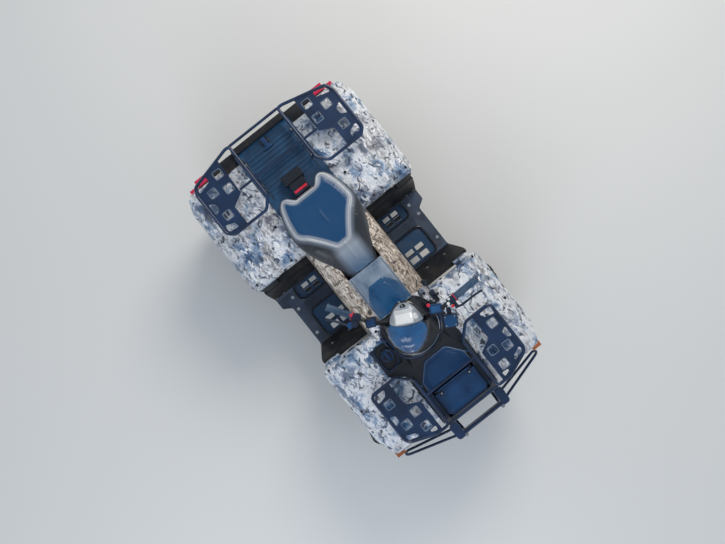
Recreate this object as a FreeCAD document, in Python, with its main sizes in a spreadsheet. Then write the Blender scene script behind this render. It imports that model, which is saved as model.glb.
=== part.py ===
import FreeCAD, Part
import Sketcher
import math
import os
import re

# Utility quad bike, millimetres: X forward, Y to the rider's left, Z up, on the ground at Z 0,
# with X 0 in the middle of its length. It is parked with the bars turned to the right.

os.makedirs("parts", exist_ok=True)
doc = FreeCAD.newDocument("quad_bike")

# Driving sizes
sizes = [
    # name, value, what it is
    ("frontAxle", 605, "front axle, along X"),
    ("rearAxle", -675, "rear axle, along X"),
    ("tyreRadius", 317, "outer radius of the tyres, over the lugs"),
    ("frontTyre", 203, "width of a front tyre"),
    ("rearTyre", 254, "width of a rear tyre"),
    ("rimRadius", 152, "bead seat radius of the 12 inch rims"),
    ("frontWheel", 435, "middle of a front wheel from the centreline"),
    ("rearWheel", 455, "middle of a rear wheel from the centreline"),
    ("kingpin", 380, "kingpins from the centreline"),
    ("wheelTurn", 20, "front wheels turned to the right, degrees"),
    ("barTurn", 28.6, "handlebar turned to the right, degrees"),
    ("fit", 0.3, "gap between pieces that seat on each other"),
    ("spindle", 16, "radius of the wheel spindles"),
    ("railSide", 140, "frame rails from the centreline"),
    ("lowerRail", 255, "height of the lower frame rails"),
    ("upperRail", 690, "height of the upper frame rails at the ends"),
    ("seatRail", 640, "height of the upper frame rails under the tank"),
    ("frameTube", 16, "radius of the frame tubes"),
    ("armSpread", 75, "suspension pivots ahead of and behind the axle"),
    ("armTube", 11, "radius of the suspension arm tubes"),
    ("columnTop", 1080, "height of the handlebar clamp on the steering axis"),
    ("columnTopX", 296, "handlebar clamp, along X"),
    ("columnLean", 18.2, "steering axis leans back, degrees"),
    ("columnRadius", 14, "radius of the steering column"),
    ("columnFoot", 400, "height of the lower end of the steering axis"),
    ("pitmanArm", 60, "pitman arm, steering axis to ball"),
    ("knuckleArm", 82, "knuckle arm, kingpin to ball"),
    ("tieRod", 7, "radius of the tie rods"),
    ("barHalf", 385, "handlebar, centre to the end of a grip"),
    ("barSweep", 150, "grip ends behind the clamp"),
    ("barRise", 70, "grips above the clamp"),
    ("barTube", 11, "radius of the handlebar tube"),
    ("gripRadius", 17, "radius of the grips"),
    ("gripLength", 125, "length of the grips"),
    ("wall", 5, "wall of the moulded panels"),
    ("frontFenderHalf", 570, "front fenders, half width"),
    ("rearFenderHalf", 589, "rear fenders, half width"),
    ("frontFenderTop", 820, "height of the front fenders"),
    ("rearFenderTop", 790, "height of the rear fenders"),
    ("frontFenderRear", 217, "rear edge of the front fenders"),
    ("frontFenderNose", 900, "front edge of the front fenders"),
    ("rearFenderFront", -311, "front edge of the rear fenders"),
    ("rearFenderTail", -1028, "rear edge of the rear fenders"),
    ("fenderEdge", 655, "height of the outer fender edges"),
    ("consoleHalf", 195, "console between the front fenders, half width"),
    ("consoleBulge", 275, "console beside the fuel cap, half width"),
    ("deckHalf", 190, "deck between the rear fenders, half width"),
    ("floorTop", 380, "height of the footwell floors"),
    ("floorThick", 14, "thickness of the footwell floors over their recesses"),
    ("floorFront", 130, "front edge of the footwell floors"),
    ("floorRear", -254, "rear edge of the footwell floors"),
    ("floorInner", 192, "inner edge of the footwell floors"),
    ("floorOuter", 500, "outer edge of the footwell floors"),
    ("seatFront", -67, "front end of the seat"),
    ("seatRear", -650, "rear end of the seat"),
    ("seatNotch", 38, "depth of the notch in the rear end of the seat"),
    ("seatTop", 872, "height of the seat"),
    ("seatBase", 776, "underside of the seat cushion"),
    ("seatHalf", 221, "seat at its widest, half width"),
    ("seatNose", 85, "seat at its front end, half width"),
    ("tankHalf", 115, "tank cover at its widest, half width"),
    ("tankTop", 885, "height of the tank cover"),
    ("rackTube", 9, "radius of the rack tubes"),
    ("rackPlate", 4, "thickness of the rack plates"),
    ("frontRackTop", 900, "height of the front rack tubes"),
    ("frontRackHalf", 425, "front rack, half width"),
    ("frontRackRear", 499, "rear tube of the front rack"),
    ("frontRackNose", 894, "front tube of the front rack"),
    ("rearRackTop", 862, "height of the rear rack tubes"),
    ("rearRackHalf", 480, "rear rack, half width"),
    ("rearRackFront", -658, "front tube of the rear rack"),
    ("rearRackTail", -1062, "rear tube of the rear rack"),
    ("rackRail", 172, "inner rack tubes from the centreline"),
    ("rackHole", 46, "rounded square holes in the rack plates"),
    ("lidRear", 724, "rear edge of the front storage lid"),
    ("lidFront", 885, "front edge of the front storage lid"),
    ("lidHalf", 136, "front storage lid, half width"),
    ("lidTop", 822, "height of the front storage lid"),
    ("bumperNose", 1061, "front tube of the bumper"),
    ("bumperTube", 9, "radius of the bumper tubes"),
    ("podLength", 215, "instrument pod, front to back"),
    ("podWidth", 255, "instrument pod, side to side"),
    ("hitchBore", 9.5, "radius of the bore of the tow hitch"),
    ("hitchPlate", 12, "thickness of the tow hitch plate"),
]

sheet = doc.addObject("Spreadsheet::Sheet", "Sizes")
for row, (name, number, meaning) in enumerate(sizes, start=1):
    sheet.set("A%d" % row, meaning)
    sheet.set("B%d" % row, str(number))
    sheet.setAlias("B%d" % row, name)
doc.recompute()


class Cells:
    pass


# The sizes as numbers, read back from the sheet
size = Cells()
for name, number, meaning in sizes:
    setattr(size, name, float(sheet.evalExpression(name)))


def cells(formula):
    # The same formula with each size taken from the sheet
    names = [name for name, number, meaning in sizes]

    def link(word):
        return "Sizes." + word.group(0) if word.group(0) in names else word.group(0)

    return re.sub(r"[A-Za-z]\w*", link, str(formula))


def number(formula):
    return float(sheet.evalExpression(str(formula)))


# Small tools for points, paths and shapes
def vec(x, y, z):
    return FreeCAD.Vector(x, y, z)


def corners(points, closed):
    # A wire through (point, corner radius) pairs: straight runs with tangent arcs
    edges = []
    count = len(points)
    last = None
    first = None
    for index in range(count):
        point, radius = points[index]
        ends = index in (0, count - 1) and not closed
        if ends or radius <= 0:
            start = end = point
            middle = None
        else:
            back = points[(index - 1) % count][0] - point
            ahead = points[(index + 1) % count][0] - point
            room = 0.49 * min(back.Length, ahead.Length)
            half = back.getAngle(ahead) / 2
            radius = min(radius, room * math.tan(half))
            start = point + back.normalize() * (radius / math.tan(half))
            end = point + ahead.normalize() * (radius / math.tan(half))
            bisector = (back + ahead).normalize()
            centre = point + bisector * (radius / math.sin(half))
            middle = centre - bisector * radius
        if last is not None:
            edges.append(Part.LineSegment(last, start).toShape())
        if middle is not None:
            edges.append(Part.Arc(start, middle, end).toShape())
        last = end
        if first is None:
            first = start
    if closed:
        edges.append(Part.LineSegment(last, first).toShape())
    return Part.Wire(edges)


def flat(points, across):
    # A flat face from (a, b, corner radius) rows: (y, z) across x, (x, z) across y, (x, y) across z
    place = {
        "x": lambda a, b: vec(0, a, b),
        "y": lambda a, b: vec(a, 0, b),
        "z": lambda a, b: vec(a, b, 0),
    }[across]
    return Part.Face(corners([(place(a, b), corner) for a, b, corner in points], True))


def extrude(face, across, low, high):
    way = {"x": vec(1, 0, 0), "y": vec(0, 1, 0), "z": vec(0, 0, 1)}[across]
    return face.translated(way * low).extrude(way * (high - low))


def prism(points, across, low, high):
    return extrude(flat(points, across), across, low, high)


def box(x, y, z):
    # From the low and high ends along each axis
    return Part.makeBox(x[1] - x[0], y[1] - y[0], z[1] - z[0], vec(x[0], y[0], z[0]))


def rod(start, end, radius):
    return Part.makeCylinder(radius, (end - start).Length, start, end - start)


def ring(start, end, outer, inner):
    return rod(start, end, outer).cut(rod(start, end, inner))


def tube(points, radius, bend):
    # A round bar along straight runs joined by bends
    path = corners([(point, bend) for point in points], False)
    section = Part.Wire(Part.makeCircle(radius, points[0], points[1] - points[0]))
    return path.makePipeShell([section], True, False)


def joined(shapes):
    whole = shapes[0] if len(shapes) == 1 else shapes[0].fuse(shapes[1:])
    return whole.removeSplitter()


def mirrored(shape):
    return shape.mirror(vec(0, 0, 0), vec(0, 1, 0))


def bothSides(shape):
    return [shape, mirrored(shape)]


nodes = []


def piece(label, shape, placement=None):
    thing = doc.addObject("Part::Feature", label)
    thing.Label = label
    thing.Shape = shape
    if placement:
        thing.Placement = placement
    nodes.append(thing)
    return thing


def turned(pivot, axis, degrees):
    # The placement that turns a piece about an axis through a pivot
    return FreeCAD.Placement(vec(0, 0, 0), FreeCAD.Rotation(axis, degrees), pivot)


# PartDesign tools: a sketch whose every corner is held by a formula of the sheet
def sketch(body, name, plane, outlines, offset="0"):
    drawing = body.newObject("Sketcher::SketchObject", name)
    plane = [item for item in body.Origin.OriginFeatures if item.Role == plane][0]
    drawing.AttachmentSupport = (plane, [""])
    drawing.MapMode = "FlatFace"
    drawing.setExpression("AttachmentOffset.Base.z", cells(offset))
    for outline in outlines:
        if outline[0] == "circle":
            circle(drawing, *outline[1:])
        else:
            polygon(drawing, outline)
    return drawing


def hold(drawing, kind, index, point, formula):
    rule = Sketcher.Constraint(kind, -1, 1, index, point, number(formula))
    drawing.setExpression("Constraints[%d]" % drawing.addConstraint(rule), cells(formula))


def circle(drawing, x, y, radius):
    centre = vec(number(x), number(y), 0)
    index = drawing.addGeometry(Part.Circle(centre, vec(0, 0, 1), number(radius)), False)
    hold(drawing, "DistanceX", index, 3, x)
    hold(drawing, "DistanceY", index, 3, y)
    rule = drawing.addConstraint(Sketcher.Constraint("Radius", index, number(radius)))
    drawing.setExpression("Constraints[%d]" % rule, cells(radius))


def polygon(drawing, outline):
    points = [vec(number(x), number(y), 0) for x, y in outline]
    count = len(points)
    lines = []
    for index in range(count):
        line = Part.LineSegment(points[index], points[(index + 1) % count])
        lines.append(drawing.addGeometry(line, False))
    for index in range(count):
        follower = lines[(index + 1) % count]
        drawing.addConstraint(Sketcher.Constraint("Coincident", lines[index], 2, follower, 1))
    for index, (x, y) in enumerate(outline):
        hold(drawing, "DistanceX", lines[index], 1, x)
        hold(drawing, "DistanceY", lines[index], 1, y)


def body(label):
    thing = doc.addObject("PartDesign::Body", label)
    thing.Label = label
    nodes.append(thing)
    return thing


def pad(thing, name, plane, outlines, length, offset="0"):
    feature = thing.newObject("PartDesign::Pad", name)
    feature.Profile = sketch(thing, name + "_sketch", plane, outlines, offset)
    feature.setExpression("Length", cells(length))
    feature.Profile[0].Visibility = False
    return feature


def pocket(thing, name, plane, outlines, length, offset="0", both=False):
    feature = thing.newObject("PartDesign::Pocket", name)
    feature.Profile = sketch(thing, name + "_sketch", plane, outlines, offset)
    feature.setExpression("Length", cells(length))
    feature.Midplane = both
    return feature


def revolve(thing, name, plane, outline, axis):
    feature = thing.newObject("PartDesign::Revolution", name)
    feature.Profile = sketch(thing, name + "_sketch", plane, [outline])
    feature.ReferenceAxis = (feature.Profile[0], [axis])
    feature.Angle = 360
    return feature


def polar(thing, feature, plane, axis, count):
    pattern = thing.newObject("PartDesign::PolarPattern", feature.Name + "_ring")
    pattern.Originals = [feature]
    pattern.Axis = (feature.Profile[0], [axis])
    pattern.Angle = 360
    pattern.Occurrences = count
    thing.Tip = pattern
    return pattern


# Wheels, modelled about Y with the outboard side at +Y
def wheelSection(width):
    # Bead, sidewall, shoulder and tread of a tyre, as radius and width
    side = "(%s / 2)" % width
    bead = "(%s / 2 - 20 - fit)" % width
    outer = [
        ("rimRadius + fit", bead),
        ("rimRadius + 14", bead),
        ("rimRadius + 34", side + " - 4"),
        ("tyreRadius - 75", side),
        ("tyreRadius - 34", side + " - 6"),
        ("tyreRadius - 7", side + " - 26"),
        ("tyreRadius", side + " - 52"),
    ]
    return outer + [(radius, "-(%s)" % across) for radius, across in reversed(outer)]


def rimSection(width):
    # Flanges, bead seat, dish and hub of a rim, as radius and width
    edge = "(%s / 2 - 14)" % width
    seat = "(%s / 2 - 20)" % width
    return [
        ("rimRadius + 10", "-" + edge),
        ("rimRadius + 10", "-" + seat),
        ("rimRadius", "-" + seat),
        ("rimRadius", seat),
        ("rimRadius + 10", seat),
        ("rimRadius + 10", edge),
        ("rimRadius - 8", edge),
        ("rimRadius - 14", "34"),
        ("64", "40"),
        ("44", "44"),
        ("spindle + fit", "44"),
        ("spindle + fit", "-10"),
        ("42", "-10"),
        ("42", "24"),
        ("64", "31"),
        ("rimRadius - 16", "24"),
        ("rimRadius - 8", "-" + edge),
    ]


def tyre(label, width):
    thing = body(label)
    revolve(thing, label + "_casing", "XY_Plane", wheelSection(width), "V_Axis")
    return thing


def rim(label, width):
    thing = body(label)
    revolve(thing, label + "_dish", "XY_Plane", rimSection(width), "V_Axis")
    window = [
        ("74", "-13"),
        ("rimRadius - 30", "-25"),
        ("rimRadius - 30", "25"),
        ("74", "13"),
    ]
    cut = pocket(thing, label + "_window", "XZ_Plane", [window], "120", both=True)
    doc.recompute()
    polar(thing, cut, "XZ_Plane", "N_Axis", 7)
    return thing


def straightAxis(axle, wheel):
    # The upright axis through the ball joints of a corner, on the left side
    return vec(axle, wheel - kingpinInset, size.tyreRadius)


kingpinInset = size.frontWheel - size.kingpin
steerAxis = straightAxis(size.frontAxle, size.frontWheel)
frontTurn = -size.wheelTurn

for side, sign in (("left", 1), ("right", -1)):
    pivot = vec(steerAxis.x, sign * steerAxis.y, 0)
    swing = FreeCAD.Placement(vec(0, 0, 0), FreeCAD.Rotation(vec(0, 0, 1), frontTurn), pivot)
    for end, axle, wheel, width in (
        ("front", size.frontAxle, size.frontWheel, "frontTyre"),
        ("rear", size.rearAxle, size.rearWheel, "rearTyre"),
    ):
        facing = FreeCAD.Rotation(vec(0, 0, 1), 0 if sign > 0 else 180)
        place = FreeCAD.Placement(vec(axle, sign * wheel, size.tyreRadius), facing)
        if end == "front":
            place = swing.multiply(place)
        tyre("%s_tyre_%s" % (end, side), width).Placement = place
        rim("%s_rim_%s" % (end, side), width).Placement = place


# Knuckles and hub carriers: the upright, its pins and the wheel spindle, left side
pin = 8
boss = 18
bossHalf = 10
lowerBall = size.tyreRadius - 82
upperBall = size.tyreRadius + 83
lowerPivot = size.lowerRail + 30
upperPivot = lowerPivot + 155
pivotSide = size.railSide + 36


def upright(axis):
    x, y, z = axis.x, axis.y, axis.z
    low = lowerBall + bossHalf + 6
    high = upperBall - bossHalf - 6
    parts = [
        rod(vec(x, y + 12, z), vec(x, y + 40, z), 46),
        box((x - 20, x + 20), (y + 12, y + 36), (low, high)),
        box((x - 17, x + 17), (y - 9, y + 20), (low, low + 24)),
        box((x - 17, x + 17), (y - 9, y + 20), (high - 24, high)),
        rod(vec(x, y, lowerBall - bossHalf - 4), vec(x, y, low + 5), pin),
        rod(vec(x, y, high - 5), vec(x, y, upperBall + bossHalf + 4), pin),
        rod(vec(x, y + 30, z), vec(x, y + kingpinInset + 30, z), size.spindle),
    ]
    return joined(parts)


def steeringArm(axis):
    # Plate from the kingpin back to the ball, with the stud of the tie rod below it
    high = upperBall - bossHalf - 6
    low = high - 12
    end = axis.x - size.knuckleArm
    plate = prism(
        [
            (axis.x, axis.y - 16, 4),
            (axis.x, axis.y + 30, 4),
            (end - 14, axis.y + 14, 14),
            (end - 14, axis.y - 14, 14),
        ],
        "z", low, high)
    stud = rod(vec(end, axis.y, low - 17), vec(end, axis.y, high), 5)
    return [plate, stud]


knuckle = joined([upright(steerAxis)] + steeringArm(steerAxis))
rightKnuckle = joined([mirrored(upright(steerAxis))] + [mirrored(part) for part in steeringArm(steerAxis)])
for side, sign, shape in (("left", 1, knuckle), ("right", -1, rightKnuckle)):
    pivot = vec(steerAxis.x, sign * steerAxis.y, 0)
    piece("knuckle_" + side, shape, turned(pivot, vec(0, 0, 1), frontTurn))


# Suspension arms, left side: a boss on the upright's pin, two legs and their bushes
def arm(axis, ball, pivot, damped):
    x, y = axis.x, axis.y
    ends = [vec(x + way * size.armSpread, pivotSide, pivot) for way in (-1, 1)]
    shapes = [rod(vec(x, y, ball - bossHalf), vec(x, y, ball + bossHalf), boss)]
    for end in ends:
        shapes.append(rod(vec(x, y - 10, ball), end, size.armTube))
        shapes.append(rod(end - vec(18, 0, 0), end + vec(18, 0, 0), 14))
    if damped:
        eye = damperFoot(axis)
        reach = size.armSpread * (y - eye.y) / (y - pivotSide)
        shapes.append(rod(eye - vec(reach, 0, 0), eye + vec(reach, 0, 0), 9))
    whole = joined(shapes)
    return whole.cut(rod(vec(x, y, ball - 30), vec(x, y, ball + 30), pin + size.fit))


def damperFoot(axis):
    share = 95 / (axis.y - pivotSide)
    return vec(axis.x, axis.y - 95, upperBall + share * (upperPivot - upperBall))


def damperHead(axis):
    return vec(axis.x, size.railSide + 45, size.upperRail)


def damper(axis):
    # Foot eye, rod, coils, body and head eye, turned about the line between the eyes
    foot = damperFoot(axis)
    head = damperHead(axis)
    length = (head - foot).Length
    rows = [(0, 16), (9, 16), (12, 12), (46, 12), (50, 27), (56, 27)]
    turns = 7
    pitch = (length - 56 - 46) / turns
    for turn in range(turns):
        start = 56 + turn * pitch
        rows += [(start, 20), (start + pitch * 0.2, 27), (start + pitch * 0.6, 27), (start + pitch * 0.8, 20)]
    rows += [(length - 46, 27), (length - 38, 27), (length - 36, 11), (length, 11)]
    outline = [vec(0, 0, 0)] + [vec(radius, 0, along) for along, radius in rows] + [vec(0, 0, length)]
    shape = Part.Face(Part.makePolygon(outline + [vec(0, 0, 0)])).revolve(vec(0, 0, 0), vec(0, 0, 1), 360)
    shape.Placement = FreeCAD.Placement(foot, FreeCAD.Rotation(vec(0, 0, 1), head - foot))
    # The eyes run on the arm's bar and on the frame's pin
    for centre, radius in ((foot, 17), (head, 15)):
        shape = shape.fuse(rod(centre - vec(12, 0, 0), centre + vec(12, 0, 0), radius))
    shape = shape.cut(rod(foot - vec(30, 0, 0), foot + vec(30, 0, 0), 9 + size.fit))
    return shape.cut(rod(head - vec(30, 0, 0), head + vec(30, 0, 0), pin + size.fit))


rearAxis = straightAxis(size.rearAxle, size.rearWheel)
arms = {}
for end, axis in (("front", steerAxis), ("rear", rearAxis)):
    arms[end] = [arm(axis, lowerBall, lowerPivot, False), arm(axis, upperBall, upperPivot, True)]
carrier = upright(rearAxis)
piece("front_suspension", Part.makeCompound([part for shape in arms["front"] for part in bothSides(shape)]))
rearParts = [part for shape in arms["rear"] + [carrier] for part in bothSides(shape)]
piece("rear_suspension", Part.makeCompound(rearParts))
springs = [part for axis in (steerAxis, rearAxis) for part in bothSides(damper(axis))]
piece("dampers", Part.makeCompound(springs))


# Steering axis: it leans back from the foot to the clamp
lean = math.radians(size.columnLean)
axisUp = vec(-math.sin(lean), 0, math.cos(lean))
axisBack = vec(-math.cos(lean), 0, -math.sin(lean))
clamp = vec(size.columnTopX, 0, size.columnTop)


def onColumn(height):
    return clamp - axisUp * ((size.columnTop - height) / math.cos(lean))


columnFoot = onColumn(size.columnFoot)
bearings = [onColumn(size.upperRail), onColumn(upperPivot)]
barPlace = turned(clamp, axisUp, -size.barTurn)

# Frame: rails, uprights, cross tubes, brackets and the supports of the floors
side = size.railSide
tubeRadius = size.frameTube
railTop = size.upperRail + tubeRadius
tail = size.rearFenderTail + 68
bumperSeat = size.frontAxle + 300
legTop = size.upperRail - tubeRadius / 2
lowerPath = [
    (tail + 55, legTop),
    (tail + 170, size.lowerRail),
    (size.frontAxle + 85, size.lowerRail),
    (size.frontAxle + 275, 400),
    (size.frontAxle + 280, legTop),
]
upperPath = [
    (tail, size.upperRail),
    (-330, size.upperRail),
    (-260, size.seatRail),
    (240, size.seatRail),
    (330, size.upperRail),
    (size.frontAxle + 300, size.upperRail),
]
floorUnder = size.floorTop - size.floorThick - size.fit
floorTube = 12
supports = [-180, 60]
rackPosts = {
    "front": [size.frontAxle + 45, size.frontAxle + 255],
    "rear": [size.rearAxle - 75, size.rearAxle - 260],
}


def rail(path, grow=0):
    return tube([vec(x, side, z) for x, z in path], tubeRadius + grow, 70)


def crossTube(x, z, radius):
    return rod(vec(x, -side, z), vec(x, side, z), radius)


def pivotBracket(x, z):
    # A back plate on the rail and two ears that hold a suspension bushing between them
    plates = []
    tall = (z - 17, z + 17)
    for way in (-1, 1):
        near = x + way * (18 + size.fit)
        far = near + way * 5
        plates.append(box((min(near, far), max(near, far)), (side, pivotSide + 14), tall))
    back = (side, pivotSide - 14 - size.fit)
    plates.append(box((x - 18 - size.fit, x + 18 + size.fit), back, tall))
    return plates


def damperBracket(axis):
    head = damperHead(axis)
    shapes = [rod(head - vec(24, 0, 0), head + vec(24, 0, 0), pin)]
    for way in (-1, 1):
        near = head.x + way * 13
        far = near + way * 6
        across = (side + 4, head.y + 13)
        shapes.append(box((min(near, far), max(near, far)), across, (head.z - 13, head.z + 13)))
    return shapes


halfFrame = [rail(lowerPath), rail(upperPath)]
uprights = []
for axle in (size.frontAxle, size.rearAxle):
    for way in (-1, 1):
        x = axle + way * size.armSpread
        uprights.append(x)
        halfFrame.append(rod(vec(x, side, size.lowerRail), vec(x, side, size.upperRail), 14))
        for z in (lowerPivot, upperPivot):
            halfFrame += pivotBracket(x, z)
for x, z in ((-345, size.upperRail), (180, size.seatRail)):
    uprights.append(x)
    halfFrame.append(rod(vec(x, side, size.lowerRail), vec(x, side, z), 14))
for axis in (steerAxis, rearAxis):
    halfFrame += damperBracket(axis)
for x in supports:
    route = [
        vec(x, side, size.lowerRail),
        vec(x, side + 90, floorUnder - floorTube),
        vec(x, size.floorOuter - 25, floorUnder - floorTube),
    ]
    halfFrame.append(tube(route, floorTube, 40))
for x in rackPosts["front"] + rackPosts["rear"]:
    halfFrame.append(box((x - 15, x + 15), (side, size.rackRail + 12), (railTop - 12, railTop - 6)))

halfFrame.append(box((bumperSeat - 26, bumperSeat), (side - 16, side + 16), (412, 448)))

middle = []
for x, z in (
    (size.rearAxle - size.armSpread, size.lowerRail),
    (-250, size.lowerRail),
    (100, size.lowerRail),
    (size.frontAxle + size.armSpread, size.lowerRail),
    (tail + 20, size.upperRail),
    (size.rearAxle + size.armSpread, size.upperRail),
    (-345, size.upperRail),
    (180, size.seatRail),
    (size.frontAxle + size.armSpread, size.upperRail),
    (size.frontAxle + 275, size.upperRail),
):
    middle.append(crossTube(x, z, 13))
middle.append(crossTube(bearings[0].x + 34, size.upperRail, 10))
middle.append(crossTube(size.frontAxle - size.armSpread, bearings[1].z, 13))
muffler = {"x": (tail, -640), "y": -65, "z": 520, "radius": 55, "tip": 500}
saddleHeight = muffler["z"] - muffler["radius"] - size.fit - 10
saddleX = tail + 170 - 115 * (saddleHeight - size.lowerRail) / (size.upperRail - size.lowerRail)
middle.append(crossTube(saddleX, saddleHeight, 10))
for centre in bearings:
    middle.append(rod(centre - axisUp * 12, centre + axisUp * 12, 26))
sideFrame = joined(halfFrame)
piece("frame_left", sideFrame)
piece("frame_right", mirrored(sideFrame))

# The tubes between the sides are coped to the rails, and carry the bearings of the column
copes = [rail(path, size.fit) for path in (lowerPath, upperPath)]
copes += [rod(vec(x, side, size.lowerRail), vec(x, side, size.upperRail), 14 + size.fit) for x in uprights]
columnBore = rod(columnFoot - axisUp * 60, clamp, size.columnRadius + size.fit)
crossTubes = joined(middle).cut([part for shape in copes for part in bothSides(shape)] + [columnBore])
piece("frame_cross_tubes", crossTubes)

# Engine: crankcase, finned cylinder and the covers on its sides
engineFloor = size.lowerRail + 13 + size.fit
caseRear = -300
caseFront = 150
engine = [
    prism(
        [(caseRear, engineFloor, 30), (caseFront, engineFloor, 30), (caseFront, 430, 60), (60, 505, 30),
         (-230, 505, 60), (caseRear, 430, 30)],
        "y", -118, 118),
    box((10, 120), (-62, 62), (500, 612)),
]
for level in range(6):
    engine.append(box((-2, 128), (-72, 72), (514 + level * 16, 519 + level * 16)))
engine.append(rod(vec(60, 0, 600), vec(60, 0, 622), 45))
for way, reach in ((1, 175), (-1, 160)):
    for x in (-190, 20):
        engine.append(rod(vec(x, way * 110, 420), vec(x, way * reach, 420), 76))
    depth = (min(way * 110, way * reach), max(way * 110, way * reach))
    engine.append(box((-190, 20), depth, (344, 496)))
piece("engine", joined(engine))

# Exhaust: a bent pipe from the cylinder into the muffler
pipeRoute = [
    vec(128 + size.fit, 0, 560),
    vec(190, 0, 560),
    vec(190, -98, 556),
    vec(-420, -98, 556),
    vec(-560, muffler["y"], muffler["z"]),
    vec(-645, muffler["y"], muffler["z"]),
]


def alongMuffler(start, end, height, radius):
    return rod(vec(start, muffler["y"], height), vec(end, muffler["y"], height), radius)


can = alongMuffler(*muffler["x"], muffler["z"], muffler["radius"])
rims = [edge for edge in can.Edges if edge.Length > 200 and edge.Closed]
spout = alongMuffler(tail - 24, tail + 20, muffler["tip"], 18)
exhaust = joined([can.makeFillet(14, rims[:2]), spout])
exhaust = exhaust.cut(alongMuffler(tail - 30, tail + 40, muffler["tip"], 14))
piece("exhaust", joined([exhaust, tube(pipeRoute, 19, 55)]))

# Driveline: differentials, prop shafts and half shafts with their boots
driveline = []
for axis, face in ((steerAxis, caseFront), (rearAxis, caseRear)):
    way = 1 if axis.x > 0 else -1
    z = axis.z
    front = face + way * size.fit
    shapes = [
        rod(vec(axis.x, -56, z), vec(axis.x, 56, z), 57),
        rod(vec(axis.x - way * 110, 0, 303), vec(axis.x, 0, 303), 26),
        rod(vec(min(front, axis.x - way * 100), 0, 303), vec(max(front, axis.x - way * 100), 0, 303), 14),
    ]
    for hand in (-1, 1):
        outer = hand * (axis.y - 10)
        shapes.append(rod(vec(axis.x, 0, z), vec(axis.x, outer, z), 12))
        shapes.append(rod(vec(axis.x, outer - hand * 34, z), vec(axis.x, outer, z), 28))
        shapes.append(Part.makeCone(26, 14, 46, vec(axis.x, outer - hand * 34, z), vec(0, -hand, 0)))
        shapes.append(Part.makeCone(34, 14, 52, vec(axis.x, hand * 54, z), vec(0, hand, 0)))
    driveline.append(joined(shapes))
piece("driveline", Part.makeCompound(driveline))

# Skid plate under the lower rails
skid = body("skid_plate")
skidHalf = "(railSide + 10)"
pad(skid, "skid_sheet", "XY_Plane", [[
    ("-540", "-" + skidHalf),
    ("frontAxle + 30", "-" + skidHalf),
    ("frontAxle + 70", "-(railSide - 40)"),
    ("frontAxle + 70", "railSide - 40"),
    ("frontAxle + 30", skidHalf),
    ("-540", skidHalf),
]], "4", "lowerRail - frameTube - fit - 4")
drains = [("circle", str(x), str(y), "14") for x in (-440, -320, -60, 60, 300, 420) for y in (-70, 70)]
pocket(skid, "skid_drains", "XY_Plane", drains, "60", "lowerRail", both=True)


# Tie rods, drawn where they are with the wheels and the bars turned
def turnedPoint(point, pivot, axis, degrees):
    return turned(pivot, axis, degrees).multVec(point)


armHeight = upperBall - bossHalf - 6 - 12
pitmanBall = columnFoot + axisBack * size.pitmanArm
restBall = turnedPoint(pitmanBall, clamp, axisUp, -size.barTurn)
eyeLift = 17.5
rods = {}
for side_name, sign in (("left", 1), ("right", -1)):
    pivot = vec(steerAxis.x, sign * steerAxis.y, 0)
    straight = vec(steerAxis.x - size.knuckleArm, sign * steerAxis.y, armHeight - 9)
    outer = turnedPoint(straight, pivot, vec(0, 0, 1), frontTurn)
    inner = restBall + axisUp * (sign * eyeLift)
    shape = joined([
        rod(outer, inner, size.tieRod),
        rod(outer - vec(0, 0, 7), outer + vec(0, 0, 7), 12),
        rod(inner - axisUp * 6, inner + axisUp * 6, 17),
    ])
    shape = shape.cut(rod(outer - vec(0, 0, 20), outer + vec(0, 0, 20), 5 + size.fit))
    shape = shape.cut(rod(inner - axisUp * 20, inner + axisUp * 20, 10.5))
    piece("tie_rod_" + side_name, shape)

# Handlebar: clamp, column, pitman plate and the bent tube
barCentre = clamp + axisUp * 24


def barPoint(back, across, rise):
    return barCentre + vec(-back, across, rise)


clampHalf = 20
gripEnd = (size.barSweep, size.barHalf, size.barRise - 12)
gripRun = (40, 190, size.barRise)
halfBar = [gripEnd, gripRun, (0, 75, 0)]
barRoute = [barPoint(back, across, rise) for back, across, rise in halfBar]
barRoute += [barPoint(back, -across, rise) for back, across, rise in reversed(halfBar)]
pitmanTip = size.pitmanArm + 12
pitman = prism([(-18, -18, 17), (pitmanTip, -12, 11), (pitmanTip, 12, 11), (-18, 18, 17)], "z", -4, 4)
pitman.Placement = FreeCAD.Placement(columnFoot, FreeCAD.Rotation(axisBack, vec(0, 1, 0), axisUp, "XZY"))
handlebar = joined([
    rod(columnFoot - axisUp * 4, clamp + axisUp * 10, size.columnRadius),
    rod(clamp - axisUp * 14, clamp + axisUp * 26, 24),
    box((barCentre.x - clampHalf, barCentre.x + clampHalf), (-45, 45), (barCentre.z - 20, barCentre.z + 14)),
    tube(barRoute, size.barTube, 45),
    pitman,
    rod(pitmanBall - axisUp * 26, pitmanBall + axisUp * 26, 5),
])
piece("handlebar", handlebar, barPlace)


# Moulded covers: where three outlines meet, hollowed by the same outlines set in by the wall
def cover(sideView, frontView, plan, span, open_below):
    outer = None
    inner = None
    for points, across in ((sideView, "y"), (frontView, "x"), (plan, "z")):
        face = flat(points, across)
        shrunk = face.makeOffset2D(-size.wall)
        low, high = span[across]
        solid = extrude(face, across, low, high)
        hollow = extrude(shrunk, across, low, high)
        outer = solid if outer is None else outer.common(solid)
        inner = hollow if inner is None else inner.common(hollow)
    shell = outer.cut(inner)
    low, high = open_below
    reach = {"x": (-1300, 1300), "y": (-700, 700)}
    return shell.cut(box(reach["x"], reach["y"], (low, high)))


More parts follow.
